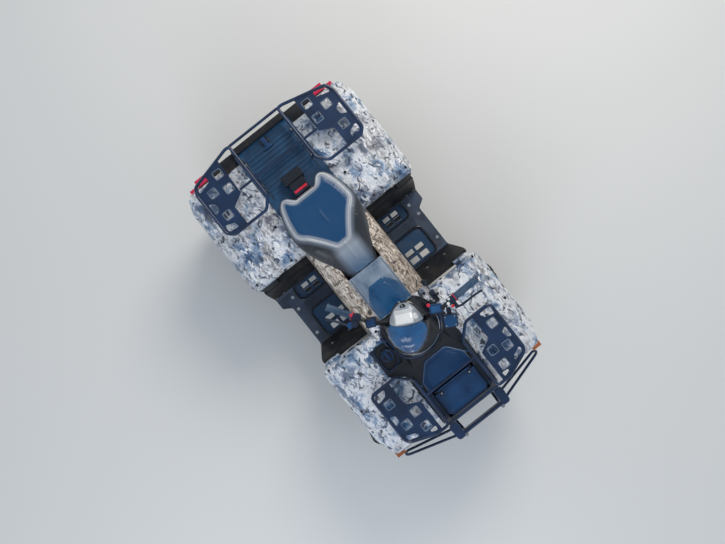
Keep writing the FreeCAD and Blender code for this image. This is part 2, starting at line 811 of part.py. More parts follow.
def seatOutline(grow):
    # Seat from above: nose, flare, widest point, rear corner and the notch behind the rider
    half = [
        (size.seatFront + grow, 0, 0),
        (size.seatFront + grow, size.seatNose + grow, 8),
        (-255, size.seatNose + 80 + grow, 150),
        (-450, size.seatHalf + grow, 60),
        (-560, size.seatHalf - 22 + grow, 60),
        (size.seatRear - grow, size.seatHalf - 71 + grow, 30),
        (size.seatRear - grow, 108, 15),
        (size.seatRear + size.seatNotch - grow, 80, 15),
        (size.seatRear + size.seatNotch - grow, 0, 0),
    ]
    other = [(x, -y, corner) for x, y, corner in reversed(half[1:-1])]
    return half[1:-1] + other


seatSpace = prism(seatOutline(size.fit), "z", size.seatBase - size.fit, size.seatTop + 60)
columnSpace = rod(columnFoot, clamp - axisUp * 60, size.columnRadius + 8)


def postHoles(end, low, high):
    holes = []
    for x in rackPosts[end]:
        for y in (-size.rackRail, size.rackRail):
            holes.append(rod(vec(x, y, low), vec(x, y, high), size.rackTube + 3))
    return holes


# Front fenders
top = size.frontFenderTop
edge = size.fenderEdge
rear = size.frontFenderRear
nose = size.frontFenderNose
half = size.frontFenderHalf
inner = size.consoleHalf + size.fit
deep = 120
frontSide = [
    (rear, edge - deep, 0), (rear, edge + 18, 20), (rear + 55, top - 18, 50), (rear + 140, top, 60),
    (nose - 130, top - 2, 60), (nose - 28, top - 50, 40), (nose, top - 130, 20), (nose, edge - deep, 0),
]
frontFront = [
    (inner, edge - deep, 0), (inner, top + 2, 10), (half - 120, top - 14, 70), (half - 44, top - 60, 50),
    (half, edge + 10, 25), (half, edge - deep, 0),
]
frontPlan = [
    (rear, inner, 0), (rear, half - 62, 30), (rear + 62, half, 50), (nose - 140, half, 90),
    (nose - 18, half - 66, 50), (nose, half - 150, 30), (nose, inner, 0),
]
spans = {"x": (rear - 20, nose + 20), "y": (0, 700), "z": (edge - deep, top + 40)}
wheelGap = box((rear - 50, nose + 50), (0, half - 150), (0, top - 70))
frontFender = cover(frontSide, frontFront, frontPlan, spans, (0, edge)).cut(wheelGap)
bulge = [
    (size.frontFenderRear + 60, 0, 0), (size.frontFenderRear + 60, size.consoleBulge, 30),
    (500, size.consoleBulge, 40), (575, size.consoleHalf - 30, 10), (575, 0, 0),
]


def grown(points, amount):
    face = flat(points, "z")
    return face.makeOffset2D(amount)


piece("front_fender_left", frontFender)
rightFender = mirrored(frontFender)
bulgeRoom = mirrored(extrude(grown(bulge, size.fit), "z", 0, 1000))
piece("front_fender_right", rightFender.cut(bulgeRoom))

# Console between the fenders, with the pocket of the fuel cap on its right
consoleNose = size.lidRear - 14
consoleSide = [
    (rear + size.fit, 600, 0), (rear + size.fit, 862, 20), (rear + 90, 896, 60), (430, 892, 50), (520, 838, 40),
    (560, top, 20), (consoleNose, top, 4), (consoleNose, 600, 0),
]
consoleFront = [
    (-size.consoleHalf, 600, 0), (-size.consoleHalf, top + 2, 8), (-140, top + 2, 12), (-104, top + 62, 30),
    (-50, 892, 60), (50, 892, 60), (104, top + 62, 30), (140, top + 2, 12), (size.consoleHalf, top + 2, 8),
    (size.consoleHalf, 600, 0),
]
consolePlan = [
    (rear + size.fit, -size.consoleHalf, 0), (rear + size.fit, size.consoleHalf, 0),
    (consoleNose, size.consoleHalf, 0), (consoleNose, -size.consoleHalf, 0),
]
spans = {"x": (0, 800), "y": (-300, 300), "z": (600, 960)}
consoleFloor = railTop + size.fit
console = cover(consoleSide, consoleFront, consolePlan, spans, (0, consoleFloor))
capCentre = vec(398, -(size.consoleHalf + 12), top)
bulgeFace = extrude(mirrored(flat(bulge, "z")), "z", 735, top + 3)
bulgeInner = extrude(mirrored(grown(bulge, -size.wall)), "z", 700, top - 3)
bulgeShell = bulgeFace.cut(bulgeInner).cut(box((0, 700), (-size.consoleHalf + size.wall, 0), (0, 1000)))
pocketOuter = prism(
    [(capCentre.x - 82, capCentre.y - 62, 22), (capCentre.x + 82, capCentre.y - 62, 22),
     (capCentre.x + 82, capCentre.y + 60, 22), (capCentre.x - 82, capCentre.y + 60, 22)],
    "z", top - 34, top + 3)
pocketInner = prism(
    [(capCentre.x - 77, capCentre.y - 57, 18), (capCentre.x + 77, capCentre.y - 57, 18),
     (capCentre.x + 77, capCentre.y + 55, 18), (capCentre.x - 77, capCentre.y + 55, 18)],
    "z", top - 29, top + 100)
console = console.fuse([bulgeShell, pocketOuter])
console = console.cut([pocketInner, columnSpace] + postHoles("front", 600, 1000))
console = console.removeSplitter()
piece("front_console", console)

cap = body("fuel_cap")
capRadius = 42
octagon = [
    (str(round(capCentre.x + capRadius * math.cos(math.radians(22.5 + 45 * turn)), 3)),
     str(round(capCentre.y + capRadius * math.sin(math.radians(22.5 + 45 * turn)), 3)))
    for turn in range(8)
]
pad(cap, "cap_top", "XY_Plane", [octagon], "26", "frontFenderTop - 29 + fit")

# Storage lid in front, hinged at its rear corners
lidGap = 5
lidThick = 8
notch = 13
hinge = vec(size.lidRear + 3, 0, size.lidTop - lidThick / 2)
lid = body("front_lid")
lidOutline = [
    ("lidRear", "-(lidHalf - 24)"), ("lidRear", "lidHalf - 24"),
    ("lidRear + 16", "lidHalf - 24"), ("lidRear + 16", "lidHalf"),
    ("lidFront - 18", "lidHalf"), ("lidFront", "lidHalf - 18"),
    ("lidFront", "-(lidHalf - 18)"), ("lidFront - 18", "-lidHalf"),
    ("lidRear + 16", "-lidHalf"), ("lidRear + 16", "-(lidHalf - 24)"),
]
pad(lid, "lid_panel", "XY_Plane", [lidOutline], str(lidThick), "lidTop - %s" % lidThick)
pinHole = [("circle", "lidRear + 3", "lidTop - %s" % (lidThick / 2), "2.5 + fit")]
pocket(lid, "lid_hinge", "XZ_Plane", [pinHole[0]], "lidHalf * 2 + 20", both=True)

# Nose: the panel round the lid and the front face with the grille, and the tray with the ears of the hinge
noseStart = consoleNose + size.fit
noseTop = size.frontFenderTop - 8
noseSide = [
    (noseStart, 380, 0), (noseStart, noseTop, 0), (nose - 22, noseTop, 30), (nose + 22, 755, 40),
    (nose + 36, 560, 60), (nose + 8, 460, 20), (nose + 8, 380, 0),
]
noseFront = [(-size.consoleHalf, 380, 0), (-size.consoleHalf, noseTop + 60, 0),
             (size.consoleHalf, noseTop + 60, 0), (size.consoleHalf, 380, 0)]
nosePlan = [
    (noseStart, -size.consoleHalf, 0), (noseStart, size.consoleHalf, 0), (nose, size.consoleHalf, 10),
    (nose + 36, size.consoleHalf - 50, 30), (nose + 36, 50 - size.consoleHalf, 30),
    (nose, -size.consoleHalf, 10),
]
spans = {"x": (600, 1000), "y": (-300, 300), "z": (380, 900)}
noseShape = cover(noseSide, noseFront, nosePlan, spans, (0, 452))
trayX = (size.lidRear - lidGap - 4, size.lidFront + lidGap)
trayY = (-size.lidHalf - lidGap, size.lidHalf + lidGap)
trayWall = 4
trayFloor = 739
trayOuter = box(
    (trayX[0] - trayWall, trayX[1] + trayWall), (trayY[0] - trayWall, trayY[1] + trayWall),
    (trayFloor - trayWall, noseTop))
trayRoom = box(
    (noseStart - 1, trayX[1] + trayWall + size.fit),
    (trayY[0] - trayWall - size.fit, trayY[1] + trayWall + size.fit), (trayFloor - trayWall - size.fit, 900))
noseShape = noseShape.cut([trayRoom, box((noseStart - 10, noseStart + 10), (-185, 185), (0, 730))])
ears = []
for hand in (-1, 1):
    near = hand * (size.lidHalf - 19)
    far = hand * (size.lidHalf - 11)
    ear = (min(near, far), max(near, far))
    ears.append(rod(vec(hinge.x, ear[0], hinge.z), vec(hinge.x, ear[1], hinge.z), 7))
    ears.append(box((hinge.x - 7, hinge.x + 7), ear, (trayFloor - 1, hinge.z)))
    ears.append(rod(vec(hinge.x, hand * (size.lidHalf - 44), hinge.z), vec(hinge.x, near, hinge.z), 2.5))
grille = [box((nose - 60, nose + 80), (-88, 88), (z, z + 13)) for z in (500, 525, 550, 575, 600, 625)]
lampPockets = []
for hand in (-1, 1):
    lampPockets.append(prism(
        [(hand * 104, 650, 6), (hand * 182, 662, 6), (hand * 182, 728, 12), (hand * 112, 722, 12)],
        "x", nose - 30, nose + 80))
piece("front_nose", noseShape.cut(grille + lampPockets + postHoles("front", 730, 1000)))
piece("storage_tray", joined([trayOuter.cut(box(trayX, trayY, (trayFloor, 900)))] + ears))

# Headlamps: a lens in each pocket
fit = size.fit
lamps = []
for hand in (-1, 1):
    lens = prism(
        [(hand * (104 + fit), 650 + fit, 6), (hand * (182 - fit), 662 + fit, 6),
         (hand * (182 - fit), 728 - fit, 12), (hand * (112 + fit), 722 - fit, 12)],
        "x", nose + 10, nose + 80)
    lamps.append(lens.common(prism([
        (nose + 10, 600, 0), (nose + 10, 752, 0), (nose + 23, 755, 20), (nose + 34, 600, 0),
    ], "y", -300, 300)).common(prism(nosePlan, "z", 500, 900)))
piece("headlamps", Part.makeCompound(lamps))

# Rear fenders
rTop = size.rearFenderTop
rFront = size.rearFenderFront
rTail = size.rearFenderTail
rHalf = size.rearFenderHalf
rInner = size.deckHalf + size.fit
rearSide = [
    (rFront, edge - deep, 0), (rFront, edge + 14, 20), (rFront - 50, rTop - 24, 60), (rFront - 130, rTop, 60),
    (rTail + 150, rTop, 60), (rTail + 34, rTop - 44, 50), (rTail, rTop - 110, 20), (rTail, edge - deep, 0),
]
rearFront = [
    (rInner, edge - deep, 0), (rInner, rTop + 2, 8), (rHalf - 120, rTop - 8, 70), (rHalf - 36, rTop - 52, 50),
    (rHalf, edge + 12, 25), (rHalf, edge - deep, 0),
]
rearPlan = [
    (rFront, rInner, 0), (rFront, rHalf - 56, 40), (rFront - 66, rHalf, 60), (rTail + 110, rHalf, 80),
    (rTail + 10, rHalf - 60, 50), (rTail, rHalf - 130, 30), (rTail, rInner, 0),
]
spans = {"x": (rTail - 20, rFront + 20), "y": (0, 700), "z": (edge - deep, rTop + 40)}
wheelGap = box((rTail - 50, rFront + 50), (0, rHalf - 150), (0, rTop - 70))
rearFender = cover(rearSide, rearFront, rearPlan, spans, (0, edge)).cut(wheelGap)
lampY = (rHalf - 290, rHalf - 129)
lampNotch = box((rTail - 20, rTail + 14), lampY, (edge + 20, edge + 62))
for side_name, shape in (("left", rearFender), ("right", mirrored(rearFender))):
    piece("rear_fender_" + side_name, shape.cut([seatSpace, lampNotch, mirrored(lampNotch)]))

# Rear deck with its ribs, the latch step at its tail and the block behind the seat
deckTop = rTop + 8
deckSide = [
    (rTail + 10, 600, 0), (rTail + 10, rTop - 20, 20), (rTail + 50, deckTop, 20),
    (size.seatRear + 70, deckTop, 0), (size.seatRear + 70, 600, 0),
]
deckFront = [(-size.deckHalf, 600, 0), (-size.deckHalf, deckTop + 20, 0), (size.deckHalf, deckTop + 20, 0),
             (size.deckHalf, 600, 0)]
deckPlan = [(rTail + 10, -size.deckHalf, 12), (rTail + 10, size.deckHalf, 12),
            (size.seatRear + 70, size.deckHalf, 0), (size.seatRear + 70, -size.deckHalf, 0)]
spans = {"x": (-1200, 0), "y": (-300, 300), "z": (600, 900)}
deck = cover(deckSide, deckFront, deckPlan, spans, (0, railTop + size.fit))
ribs = []
for x in range(int(rTail) + 80, int(size.seatRear) - 60, 26):
    ribs.append(box((x, x + 10), (-150, 150), (deckTop - 1, deckTop + 5)))
deck = deck.fuse(ribs).cut([seatSpace] + postHoles("rear", 600, 900)).removeSplitter()
piece("rear_deck", deck)

blockFoot = deckTop + 5 + size.fit
blockTop = size.seatTop - 14
blockNose = size.seatRear + size.seatNotch - 2
seatBlock = joined([
    box((size.seatRear - 94, size.seatRear - 40), (-62, 62), (blockFoot, blockTop)),
    box((size.seatRear - 48, blockNose), (-48, 48), (blockFoot, blockTop - 12)),
])
piece("seat_rear_block", seatBlock)

# Seat: the cushion over its pan
seatSide = [
    (size.seatRear - 30, size.seatBase, 0), (size.seatRear - 30, size.seatTop, 0), (-400, size.seatTop, 200),
    (-260, size.seatTop - 22, 200), (-120, size.seatTop - 12, 200), (size.seatFront + 20, size.seatTop - 6, 0),
    (size.seatFront + 20, size.seatBase, 0),
]
cushion = prism(seatOutline(0), "z", size.seatBase, size.seatTop + 50).common(prism(seatSide, "y", -300, 300))
crown = [line for line in cushion.Edges if line.BoundBox.ZMin > size.seatTop - 30]
cushion = cushion.makeFillet(16, crown)
pan = box((size.seatRear + 70 + size.fit, -350), (-150, 150), (railTop + size.fit, size.seatBase))
piece("seat", joined([cushion, pan]))

# Tank cover ahead of the seat
tankRear = size.seatFront + size.fit
tankFront = rear - size.fit
tankSide = [
    (tankRear, 700, 0), (tankRear, size.seatTop - 4, 10), (tankRear + 120, size.tankTop, 200),
    (tankFront, size.tankTop - 8, 10), (tankFront, 700, 0),
]
tankFrontView = [
    (-size.tankHalf, 700, 0), (-size.tankHalf, 826, 12), (-size.tankHalf + 26, size.tankTop - 20, 30),
    (-34, size.tankTop, 60), (34, size.tankTop, 60), (size.tankHalf - 26, size.tankTop - 20, 30),
    (size.tankHalf, 826, 12), (size.tankHalf, 700, 0),
]
tankPlan = [(tankRear, -size.tankHalf, 0), (tankRear, size.tankHalf, 0), (tankFront, size.tankHalf, 0),
            (tankFront, -size.tankHalf, 0)]
spans = {"x": (-200, 400), "y": (-300, 300), "z": (700, 1000)}
piece("tank_cover", cover(tankSide, tankFrontView, tankPlan, spans, (0, 770)).cut(columnSpace))

# Side panels between the tank, the seat and the floors
panelOut = size.floorInner + 30
panelTop = [
    (size.tankHalf + size.fit, 812), (158, 803), (panelOut - 14, 748), (panelOut, 660),
    (panelOut, size.floorTop + 8),
]
wallStep = [(0, -size.wall), (-2, -size.wall), (-size.wall + 1, -2), (-size.wall, 0), (-size.wall, 0)]
under = [(y + dy, z + dz) for (y, z), (dy, dz) in zip(panelTop, wallStep)]
panelRound = [0, 40, 40, 60, 0]
panelFace = [(y, z, corner) for (y, z), corner in zip(panelTop, panelRound)]
panelFace += [(y, z, corner) for (y, z), corner in reversed(list(zip(under, panelRound)))]
panel = prism(panelFace, "x", rFront + size.fit, rear - size.fit)
panelLow = size.floorTop - 20
panelCorner = [(rFront - 5, 640, 0), (rFront - 5, panelLow, 0), (rFront + 90, panelLow, 0), (rFront + 60, 520, 0)]
panel = panel.cut([seatSpace, prism(panelCorner, "y", 0, 300)])
for side_name, shape in (("left", panel), ("right", mirrored(panel))):
    piece("side_panel_" + side_name, shape)

# Footwells: the floor, its recesses with drain windows, the sloping guards before and behind it
floorIn = panelOut + size.fit
guardTop = edge - size.fit
lip = 26
lipUnder = guardTop - 6
floorBase = size.floorTop - size.floorThick
floorProfile = [
    (rear + lip, guardTop, 0), (rear - 6, guardTop, 0), (size.floorFront, size.floorTop, 24),
    (size.floorRear, size.floorTop, 24), (rFront + 5, guardTop, 0), (rFront - lip, guardTop, 0),
    (rFront - lip, lipUnder, 0), (rFront - 1, lipUnder, 0), (size.floorRear - 6, floorBase, 26),
    (size.floorFront + 6, floorBase, 26), (rear, lipUnder, 0), (rear + lip, lipUnder, 0),
]
outer = size.floorOuter
floorPlan = [
    (rear + lip + 1, floorIn, 0), (rear + lip + 1, outer + 52, 60), (size.floorFront, outer, 60),
    (-150, outer, 20), (-182, outer + 52, 8), (-280, outer + 52, 12), (rFront - lip - 1, outer + 42, 12),
    (rFront - lip - 1, floorIn, 0),
]
floor = prism(floorProfile, "y", 0, 700).common(prism(floorPlan, "z", 0, 1000))
recesses = [
    # x range, y range, corner chamfer, window columns (x), window rows (y), window size
    ((-66, 118), (244, 428), 40, (38, 88), (278, 352), (36, 56)),
    ((-246, -152), (250, 424), 40, (-218, -180), (292, 352), (26, 44)),
]
for (x0, x1), (y0, y1), cut, columns, rows, (across, along) in recesses:
    corner = cut * 0.8
    hollow = prism([(x0, y0, 8), (x0, y1, corner), (x1, y1, corner), (x1, y0, 8)], "z",
                   size.floorTop - 8, size.floorTop + 30)
    floor = floor.cut(hollow)
    for x in columns:
        for y in rows:
            floor = floor.cut(box((x - across / 2, x + across / 2), (y - along / 2, y + along / 2), (300, 500)))
for x in (-126, -112, -98, -84):
    floor = floor.fuse(box((x - 3, x + 3), (250, 430), (size.floorTop - 1, size.floorTop + 5)))
floor = floor.removeSplitter()
for side_name, shape in (("left", floor), ("right", mirrored(floor))):
    piece("footwell_" + side_name, shape)


# Racks: on each side a tube loop filled by a perforated plate, tied by cross tubes
def tubeLoop(points, radius):
    # The first point lies on a straight run
    path = corners([(vec(x, y, z), bend) for x, y, z, bend in points], True)
    first = vec(*points[0][:3])
    section = Part.Wire(Part.makeCircle(radius, first, vec(*points[1][:3]) - first))
    return path.makePipeShell([section], True, False)


def roundHole(x, y, across, along, corner):
    return [
        (x - across / 2, y - along / 2, corner), (x - across / 2, y + along / 2, corner),
        (x + across / 2, y + along / 2, corner), (x + across / 2, y - along / 2, corner),
    ]


def rackSide(loop, plate, openings, height):
    shape = tubeLoop([(x, y, height, bend) for x, y, bend in loop], size.rackTube)
    low = height - size.rackPlate / 2
    filling = prism(plate, "z", low, low + size.rackPlate)
    for opening in openings:
        filling = filling.cut(prism(opening, "z", low - 5, low + 20))
    return [shape, filling]


def posts(end, height):
    return [
        rod(vec(x, size.rackRail, railTop - 6 + size.fit), vec(x, size.rackRail, height), size.rackTube)
        for x in rackPosts[end]
    ]


hole = size.rackHole
rackSpan = size.rackRail
fOuter = size.frontRackHalf - size.rackTube
fRear = size.frontRackRear + size.rackTube
fNose = size.frontRackNose
loop = [
    (700, rackSpan, 0), (fRear + 75, rackSpan, 40), (fRear, rackSpan + 78, 40), (fRear, fOuter, 30),
    (fNose - 62, fOuter, 50), (fNose, rackSpan + 84, 50), (fNose, rackSpan, 20),
]
plate = [
    (fRear + 150, 292, 8), (fRear, 292, 0), (fRear, fOuter, 30), (fNose - 62, fOuter, 50),
    (fNose, rackSpan + 84, 50), (fNose, 214, 0), (fRear + 190, 214, 8),
]
openings = [roundHole(x, y, hole, hole, 10) for x, y in ((605, 361), (751, 353), (723, 271), (820, 273))]
openings.append([(660, 404, 6), (728, 404, 6), (712, 374, 6), (676, 374, 6)])
openings.append([(522, 408, 8), (570, 404, 8), (556, 352, 8), (522, 330, 8)])
openings.append([(792, 402, 8), (826, 396, 14), (846, 330, 8), (818, 346, 8)])
openings.append([(858, 296, 8), (880, 236, 8), (850, 232, 8)])
rackHalf = rackSide(loop, plate, openings, size.frontRackTop) + posts("front", size.frontRackTop)
crossRadius = size.rackTube - 1
cross = [
    rod(vec(x, -rackSpan, size.frontRackTop), vec(x, rackSpan, size.frontRackTop), crossRadius)
    for x in (691, fNose)
]
piece("front_rack", joined(rackHalf + [mirrored(part) for part in rackHalf] + cross))

rHalfRack = size.rearRackHalf
rRear = size.rearRackTail
rNose = size.rearRackFront
loop = [
    (-900, rackSpan, 0), (rRear, rackSpan, 20), (rRear, rackSpan + 30, 60), (rRear + 64, rHalfRack - 20, 30),
    (rRear + 110, rHalfRack, 30), (rNose - 34, rHalfRack, 30), (rNose, rHalfRack - 34, 30),
    (rNose, rackSpan + 50, 40), (rNose - 60, rackSpan, 40),
]
plate = [
    (rRear + 17, 270, 0), (rRear + 64, rHalfRack - 20, 30), (rRear + 110, rHalfRack, 30),
    (rNose - 34, rHalfRack, 30), (rNose, rHalfRack - 34, 30), (rNose, 353, 0), (-780, 353, 8), (-820, 276, 8),
]
openings = [roundHole(x, y, hole, hole, 10) for x, y in ((-912, 401), (-767, 409), (-979, 315), (-881, 315))]
openings.append([(-880, 462, 6), (-800, 462, 6), (-822, 428, 6), (-858, 428, 6)])
openings.append([(-1012, 380, 6), (-988, 452, 6), (-952, 462, 8), (-978, 378, 6)])
openings.append([(-732, 462, 8), (-688, 462, 14), (-680, 396, 8), (-712, 410, 8)])
rackHalf = rackSide(loop, plate, openings, size.rearRackTop) + posts("rear", size.rearRackTop)
cross = [
    rod(vec(rRear, -rackSpan, size.rearRackTop), vec(rRear, rackSpan, size.rearRackTop), crossRadius),
    rod(vec(-837, -272, size.rearRackTop), vec(-837, 272, size.rearRackTop), crossRadius),
]
piece("rear_rack", joined(rackHalf + [mirrored(part) for part in rackHalf] + cross))

# Front bumper: hoops, cross tubes, wing tubes and the end caps of the hoops
hoopX = size.bumperNose - 5
hoopSide = side - 8
hoop = [
    vec(bumperSeat + size.fit, side, 430), vec(hoopX - 60, side, 430), vec(hoopX, hoopSide, 530),
    vec(hoopX, hoopSide, 690), vec(hoopX - 50, side + 10, 800), vec(936, side + 20, 800),
]
wing = [
    vec(hoopX, hoopSide, 622), vec(1029, 213, 622), vec(947, 489, 622), vec(944, 486, 540),
    vec(1020, 213, 480), vec(hoopX - 26, hoopSide + 2, 480),
]
bumper = []
for shape in (tube(hoop, size.bumperTube, 45), tube(wing, size.bumperTube - 1, 30)):
    bumper += bothSides(shape)
capPlan = [(928, side - 8, 14), (928, side + 48, 14), (1023, side + 42, 18), (1023, side - 8, 18)]
bumper += bothSides(prism(capPlan, "z", 786, 814))
plateShape = box((hoopX - 8, hoopX - 3), (-hoopSide, hoopSide), (560, 640))
bumper.append(plateShape)
for x, z in ((size.bumperNose, 600), (hoopX - 45, 790), (hoopX - 60, 430)):
    bumper.append(rod(vec(x, -side, z), vec(x, side, z), size.bumperTube))
piece("front_bumper", joined(bumper))


# Lamps on the fenders: what stands outside the panel of a block set into it
def outside(block, shell, pick):
    return max(block.cut(shell).Solids, key=pick)


tails = box((rTail - 34, rTail + 8), (lampY[0] + fit, lampY[1] - fit), (edge + 20 + fit, edge + 62 - fit))
piece("tail_lamps", Part.makeCompound(bothSides(tails)))
reflector = box((rTail - 10, rTail + 40), (rHalf - 124, rHalf - 72), (edge + 8, edge + 40))
marker = box((nose - 60, nose + 12), (half - 100, half - 44), (edge + 12, edge + 40))
cornerLamps = [
    outside(reflector, rearFender, lambda solid: -solid.CenterOfMass.x),
    outside(marker, frontFender, lambda solid: solid.CenterOfMass.x),
]
piece("corner_lamps", Part.makeCompound([part for shape in cornerLamps for part in bothSides(shape)]))

# Tow hitch plate under the rear cross tube
hitch = body("tow_hitch")
pad(hitch, "hitch_plate_pad", "XY_Plane", [[
    ("rearAxle - 300", "-22"), ("rearAxle - 270", "-42"), ("rearAxle - 60", "-60"),
    ("rearAxle - 60", "60"), ("rearAxle - 270", "42"), ("rearAxle - 300", "22"),
]], "hitchPlate", "lowerRail - 13 - fit - hitchPlate")
bore = [("circle", "rearAxle - 262", "0", "hitchBore")]
pocket(hitch, "hitch_bore", "XY_Plane", bore, "200", "lowerRail", both=True)

# Gear lever with its gate on the left fender
gateBlock = prism([(262, 198, 4), (262, 226, 4), (334, 222, 4), (334, 198, 4)], "z", top - 60, top + 7)
gateSlot = box((272, 324), (208, 215), (top + 1, top + 40))
gate = outside(gateBlock, frontFender, lambda solid: solid.CenterOfMass.z).cut(gateSlot)
leverFoot = vec(296, 211.5, top + 1)
knob = vec(206, 206, top + 48)
lever = [gate, tube([leverFoot, leverFoot + vec(-14, 0, 26), knob], 3.4, 12)]
handle = rod(knob - vec(24, 0, 0), knob + vec(14, 0, 0), 13)
lever.append(handle.makeFillet(8, [line for line in handle.Edges if line.Closed and line.Length < 90]))
piece("gear_lever", joined(lever))

# Grips and controls, both ends of the bar
gripShapes = []
controlShapes = []
barSpace = tube(barRoute, size.barTube + size.fit, 45)
for hand in (1, -1):
    tip = barPoint(gripEnd[0], hand * gripEnd[1], gripEnd[2])
    run = barPoint(gripRun[0], hand * gripRun[1], gripRun[2])
    along = (tip - run).normalize()
    ahead = along.cross(vec(0, 0, 1)) * hand
    start = tip - along * size.gripLength
    grip = rod(start, tip + along * 6, size.gripRadius).fuse([
        rod(start - along * 7, start, size.gripRadius + 6),
        rod(tip, tip + along * 8, size.gripRadius + 3),
    ])
    gripShapes.append(grip.cut(rod(start - along * 20, tip + along * size.fit, size.barTube + size.fit)))
    perch = start - along * (7 + size.fit)
    controls = [rod(perch - along * 46, perch, 19)]
    controls.append(rod(perch - along * 22, perch - along * 22 + ahead * 48, 11))
    pivotPoint = perch - along * 22 + ahead * 44
    blade = [
        pivotPoint - along * 10, pivotPoint + along * 24 + ahead * 10, pivotPoint + along * 100 + ahead * 12,
        pivotPoint + along * 150 + ahead * 18,
    ]
    controls.append(tube(blade, 6, 40))
    # Switch block on the left, brake reservoir and throttle housing on the right
    if hand > 0:
        low = perch - along * 24 - vec(0, 0, 26)
        controls.append(rod(low, low + vec(0, 0, 54), 20))
    else:
        low = perch - along * 26 - vec(0, 0, 14)
        controls.append(rod(low, low + vec(0, 0, 44), 24))
        reservoir = perch - along * 30 + ahead * 30
        controls.append(rod(reservoir + vec(0, 0, 6), reservoir + vec(0, 0, 38), 17))
    controlShapes.append(joined(controls).cut(barSpace))
piece("grips", Part.makeCompound(gripShapes), barPlace)
piece("controls", Part.makeCompound(controlShapes), barPlace)

# Instrument pod over the clamp
podX = clamp.x + 22
podBase = barCentre.z - 14
podRear = podX - size.podLength / 2
podFront = podX + size.podLength / 2
podHalf = size.podWidth / 2
podSide = [
    (podRear, podBase + 18, 8), (podRear, podBase + 44, 12), (podX - 30, podBase + 98, 30),
    (podX + 10, podBase + 108, 40), (podFront - 24, podBase + 80, 40), (podFront, podBase + 44, 16),
    (podFront - 30, podBase, 20), (podRear + 40, podBase, 30),
]
podPlan = [
    (podRear, -podHalf + 58, 20), (podRear, podHalf - 58, 20), (podRear + 50, podHalf - 8, 40),
    (podX + 24, podHalf, 50), (podFront - 30, podHalf - 36, 40), (podFront, podHalf - 84, 30),
    (podFront, -podHalf + 84, 30), (podFront - 30, -podHalf + 36, 40), (podX + 24, -podHalf, 50),
    (podRear + 50, -podHalf + 8, 40),
]
podEnds = [
    (-podHalf, podBase - 10, 0), (-podHalf, podBase + 52, 20), (-podHalf + 40, podBase + 100, 50),
    (-30, podBase + 112, 60), (30, podBase + 112, 60), (podHalf - 40, podBase + 100, 50),
    (podHalf, podBase + 52, 20), (podHalf, podBase - 10, 0),
]
pod = prism(podSide, "y", -200, 200).common(prism(podPlan, "z", 1000, 1400)).common(prism(podEnds, "x", 0, 600))
clampX = (barCentre.x - clampHalf - fit, barCentre.x + clampHalf + fit)
podRoom = [
    barSpace,
    rod(clamp - axisUp * 40, clamp + axisUp * (26 + fit), 24 + fit),
    box(clampX, (-45 - fit, 45 + fit), (barCentre.z - 40, barCentre.z + 14 + fit)),
]
pod = pod.cut(podRoom)
podWell = box((barCentre.x - 12, barCentre.x + 12), (-200, 200), (podBase - 10, barCentre.z))
pod = pod.cut(podWell)
piece("instrument_pod", max(pod.Solids, key=lambda solid: solid.Volume), barPlace)

# Write each piece, once every one of them is whole
doc.recompute()
for thing in doc.Objects:
    if "Invalid" in thing.State or "Error" in thing.State:
        raise RuntimeError("%s did not build" % thing.Label)
for thing in nodes:
    if thing.Shape.isNull() or not thing.Shape.isValid():
        raise RuntimeError("%s has no valid shape" % thing.Label)
for thing in nodes:
    thing.Shape.exportStep("parts/%s.step" % thing.Label)
    limits = thing.Shape.BoundBox
    print("%-20s %2d solids  x %6.0f %6.0f  y %6.0f %6.0f  z %5.0f %5.0f" % (
        thing.Label, len(thing.Shape.Solids), limits.XMin, limits.XMax, limits.YMin, limits.YMax,
        limits.ZMin, limits.ZMax))
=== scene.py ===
import math
import bmesh
import bpy
import numpy
from mathutils import Matrix, Vector
from mathutils.bvhtree import BVHTree


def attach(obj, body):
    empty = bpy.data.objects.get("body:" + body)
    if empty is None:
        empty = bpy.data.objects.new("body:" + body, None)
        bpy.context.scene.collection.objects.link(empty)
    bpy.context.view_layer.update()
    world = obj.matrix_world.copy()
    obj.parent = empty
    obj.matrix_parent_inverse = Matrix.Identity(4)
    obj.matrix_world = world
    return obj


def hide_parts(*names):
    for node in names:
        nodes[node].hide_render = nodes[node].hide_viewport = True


# Utility quad bike seen from straight above, parked with its bars turned to the right.
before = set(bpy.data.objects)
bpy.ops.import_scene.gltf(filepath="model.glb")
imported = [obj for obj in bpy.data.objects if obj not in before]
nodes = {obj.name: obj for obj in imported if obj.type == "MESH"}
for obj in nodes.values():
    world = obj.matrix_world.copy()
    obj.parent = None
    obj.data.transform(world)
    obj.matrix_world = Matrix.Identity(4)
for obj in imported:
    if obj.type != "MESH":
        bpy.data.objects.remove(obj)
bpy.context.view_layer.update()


# Shared tools
def linear(hexColour):
    values = [int(hexColour[start:start + 2], 16) / 255 for start in (1, 3, 5)]
    return [v / 12.92 if v <= 0.04045 else ((v + 0.055) / 1.055) ** 2.4 for v in values] + [1]


def addNode(tree, kind, settings=None, links=None):
    # Settings are properties of the node or values of its inputs; links go from a socket to an input
    node = tree.nodes.new(kind)
    for key, value in (settings or {}).items():
        if isinstance(key, str) and hasattr(node, key):
            setattr(node, key, value)
        else:
            node.inputs[key].default_value = value
    for key, source in (links or {}).items():
        tree.links.new(source, node.inputs[key])
    return node


def newMaterial(name, colour, roughness, metallic=0.0, **sockets):
    made = bpy.data.materials.new(name)
    made.use_nodes = True
    tree = made.node_tree
    shader = tree.nodes["Principled BSDF"]
    shader.inputs["Base Color"].default_value = linear(colour)
    shader.inputs["Roughness"].default_value = roughness
    shader.inputs["Metallic"].default_value = metallic
    for key, value in sockets.items():
        shader.inputs[key.replace("_", " ")].default_value = value
    place = tree.nodes.new("ShaderNodeTexCoord").outputs["Object"]
    return made, tree, shader, place


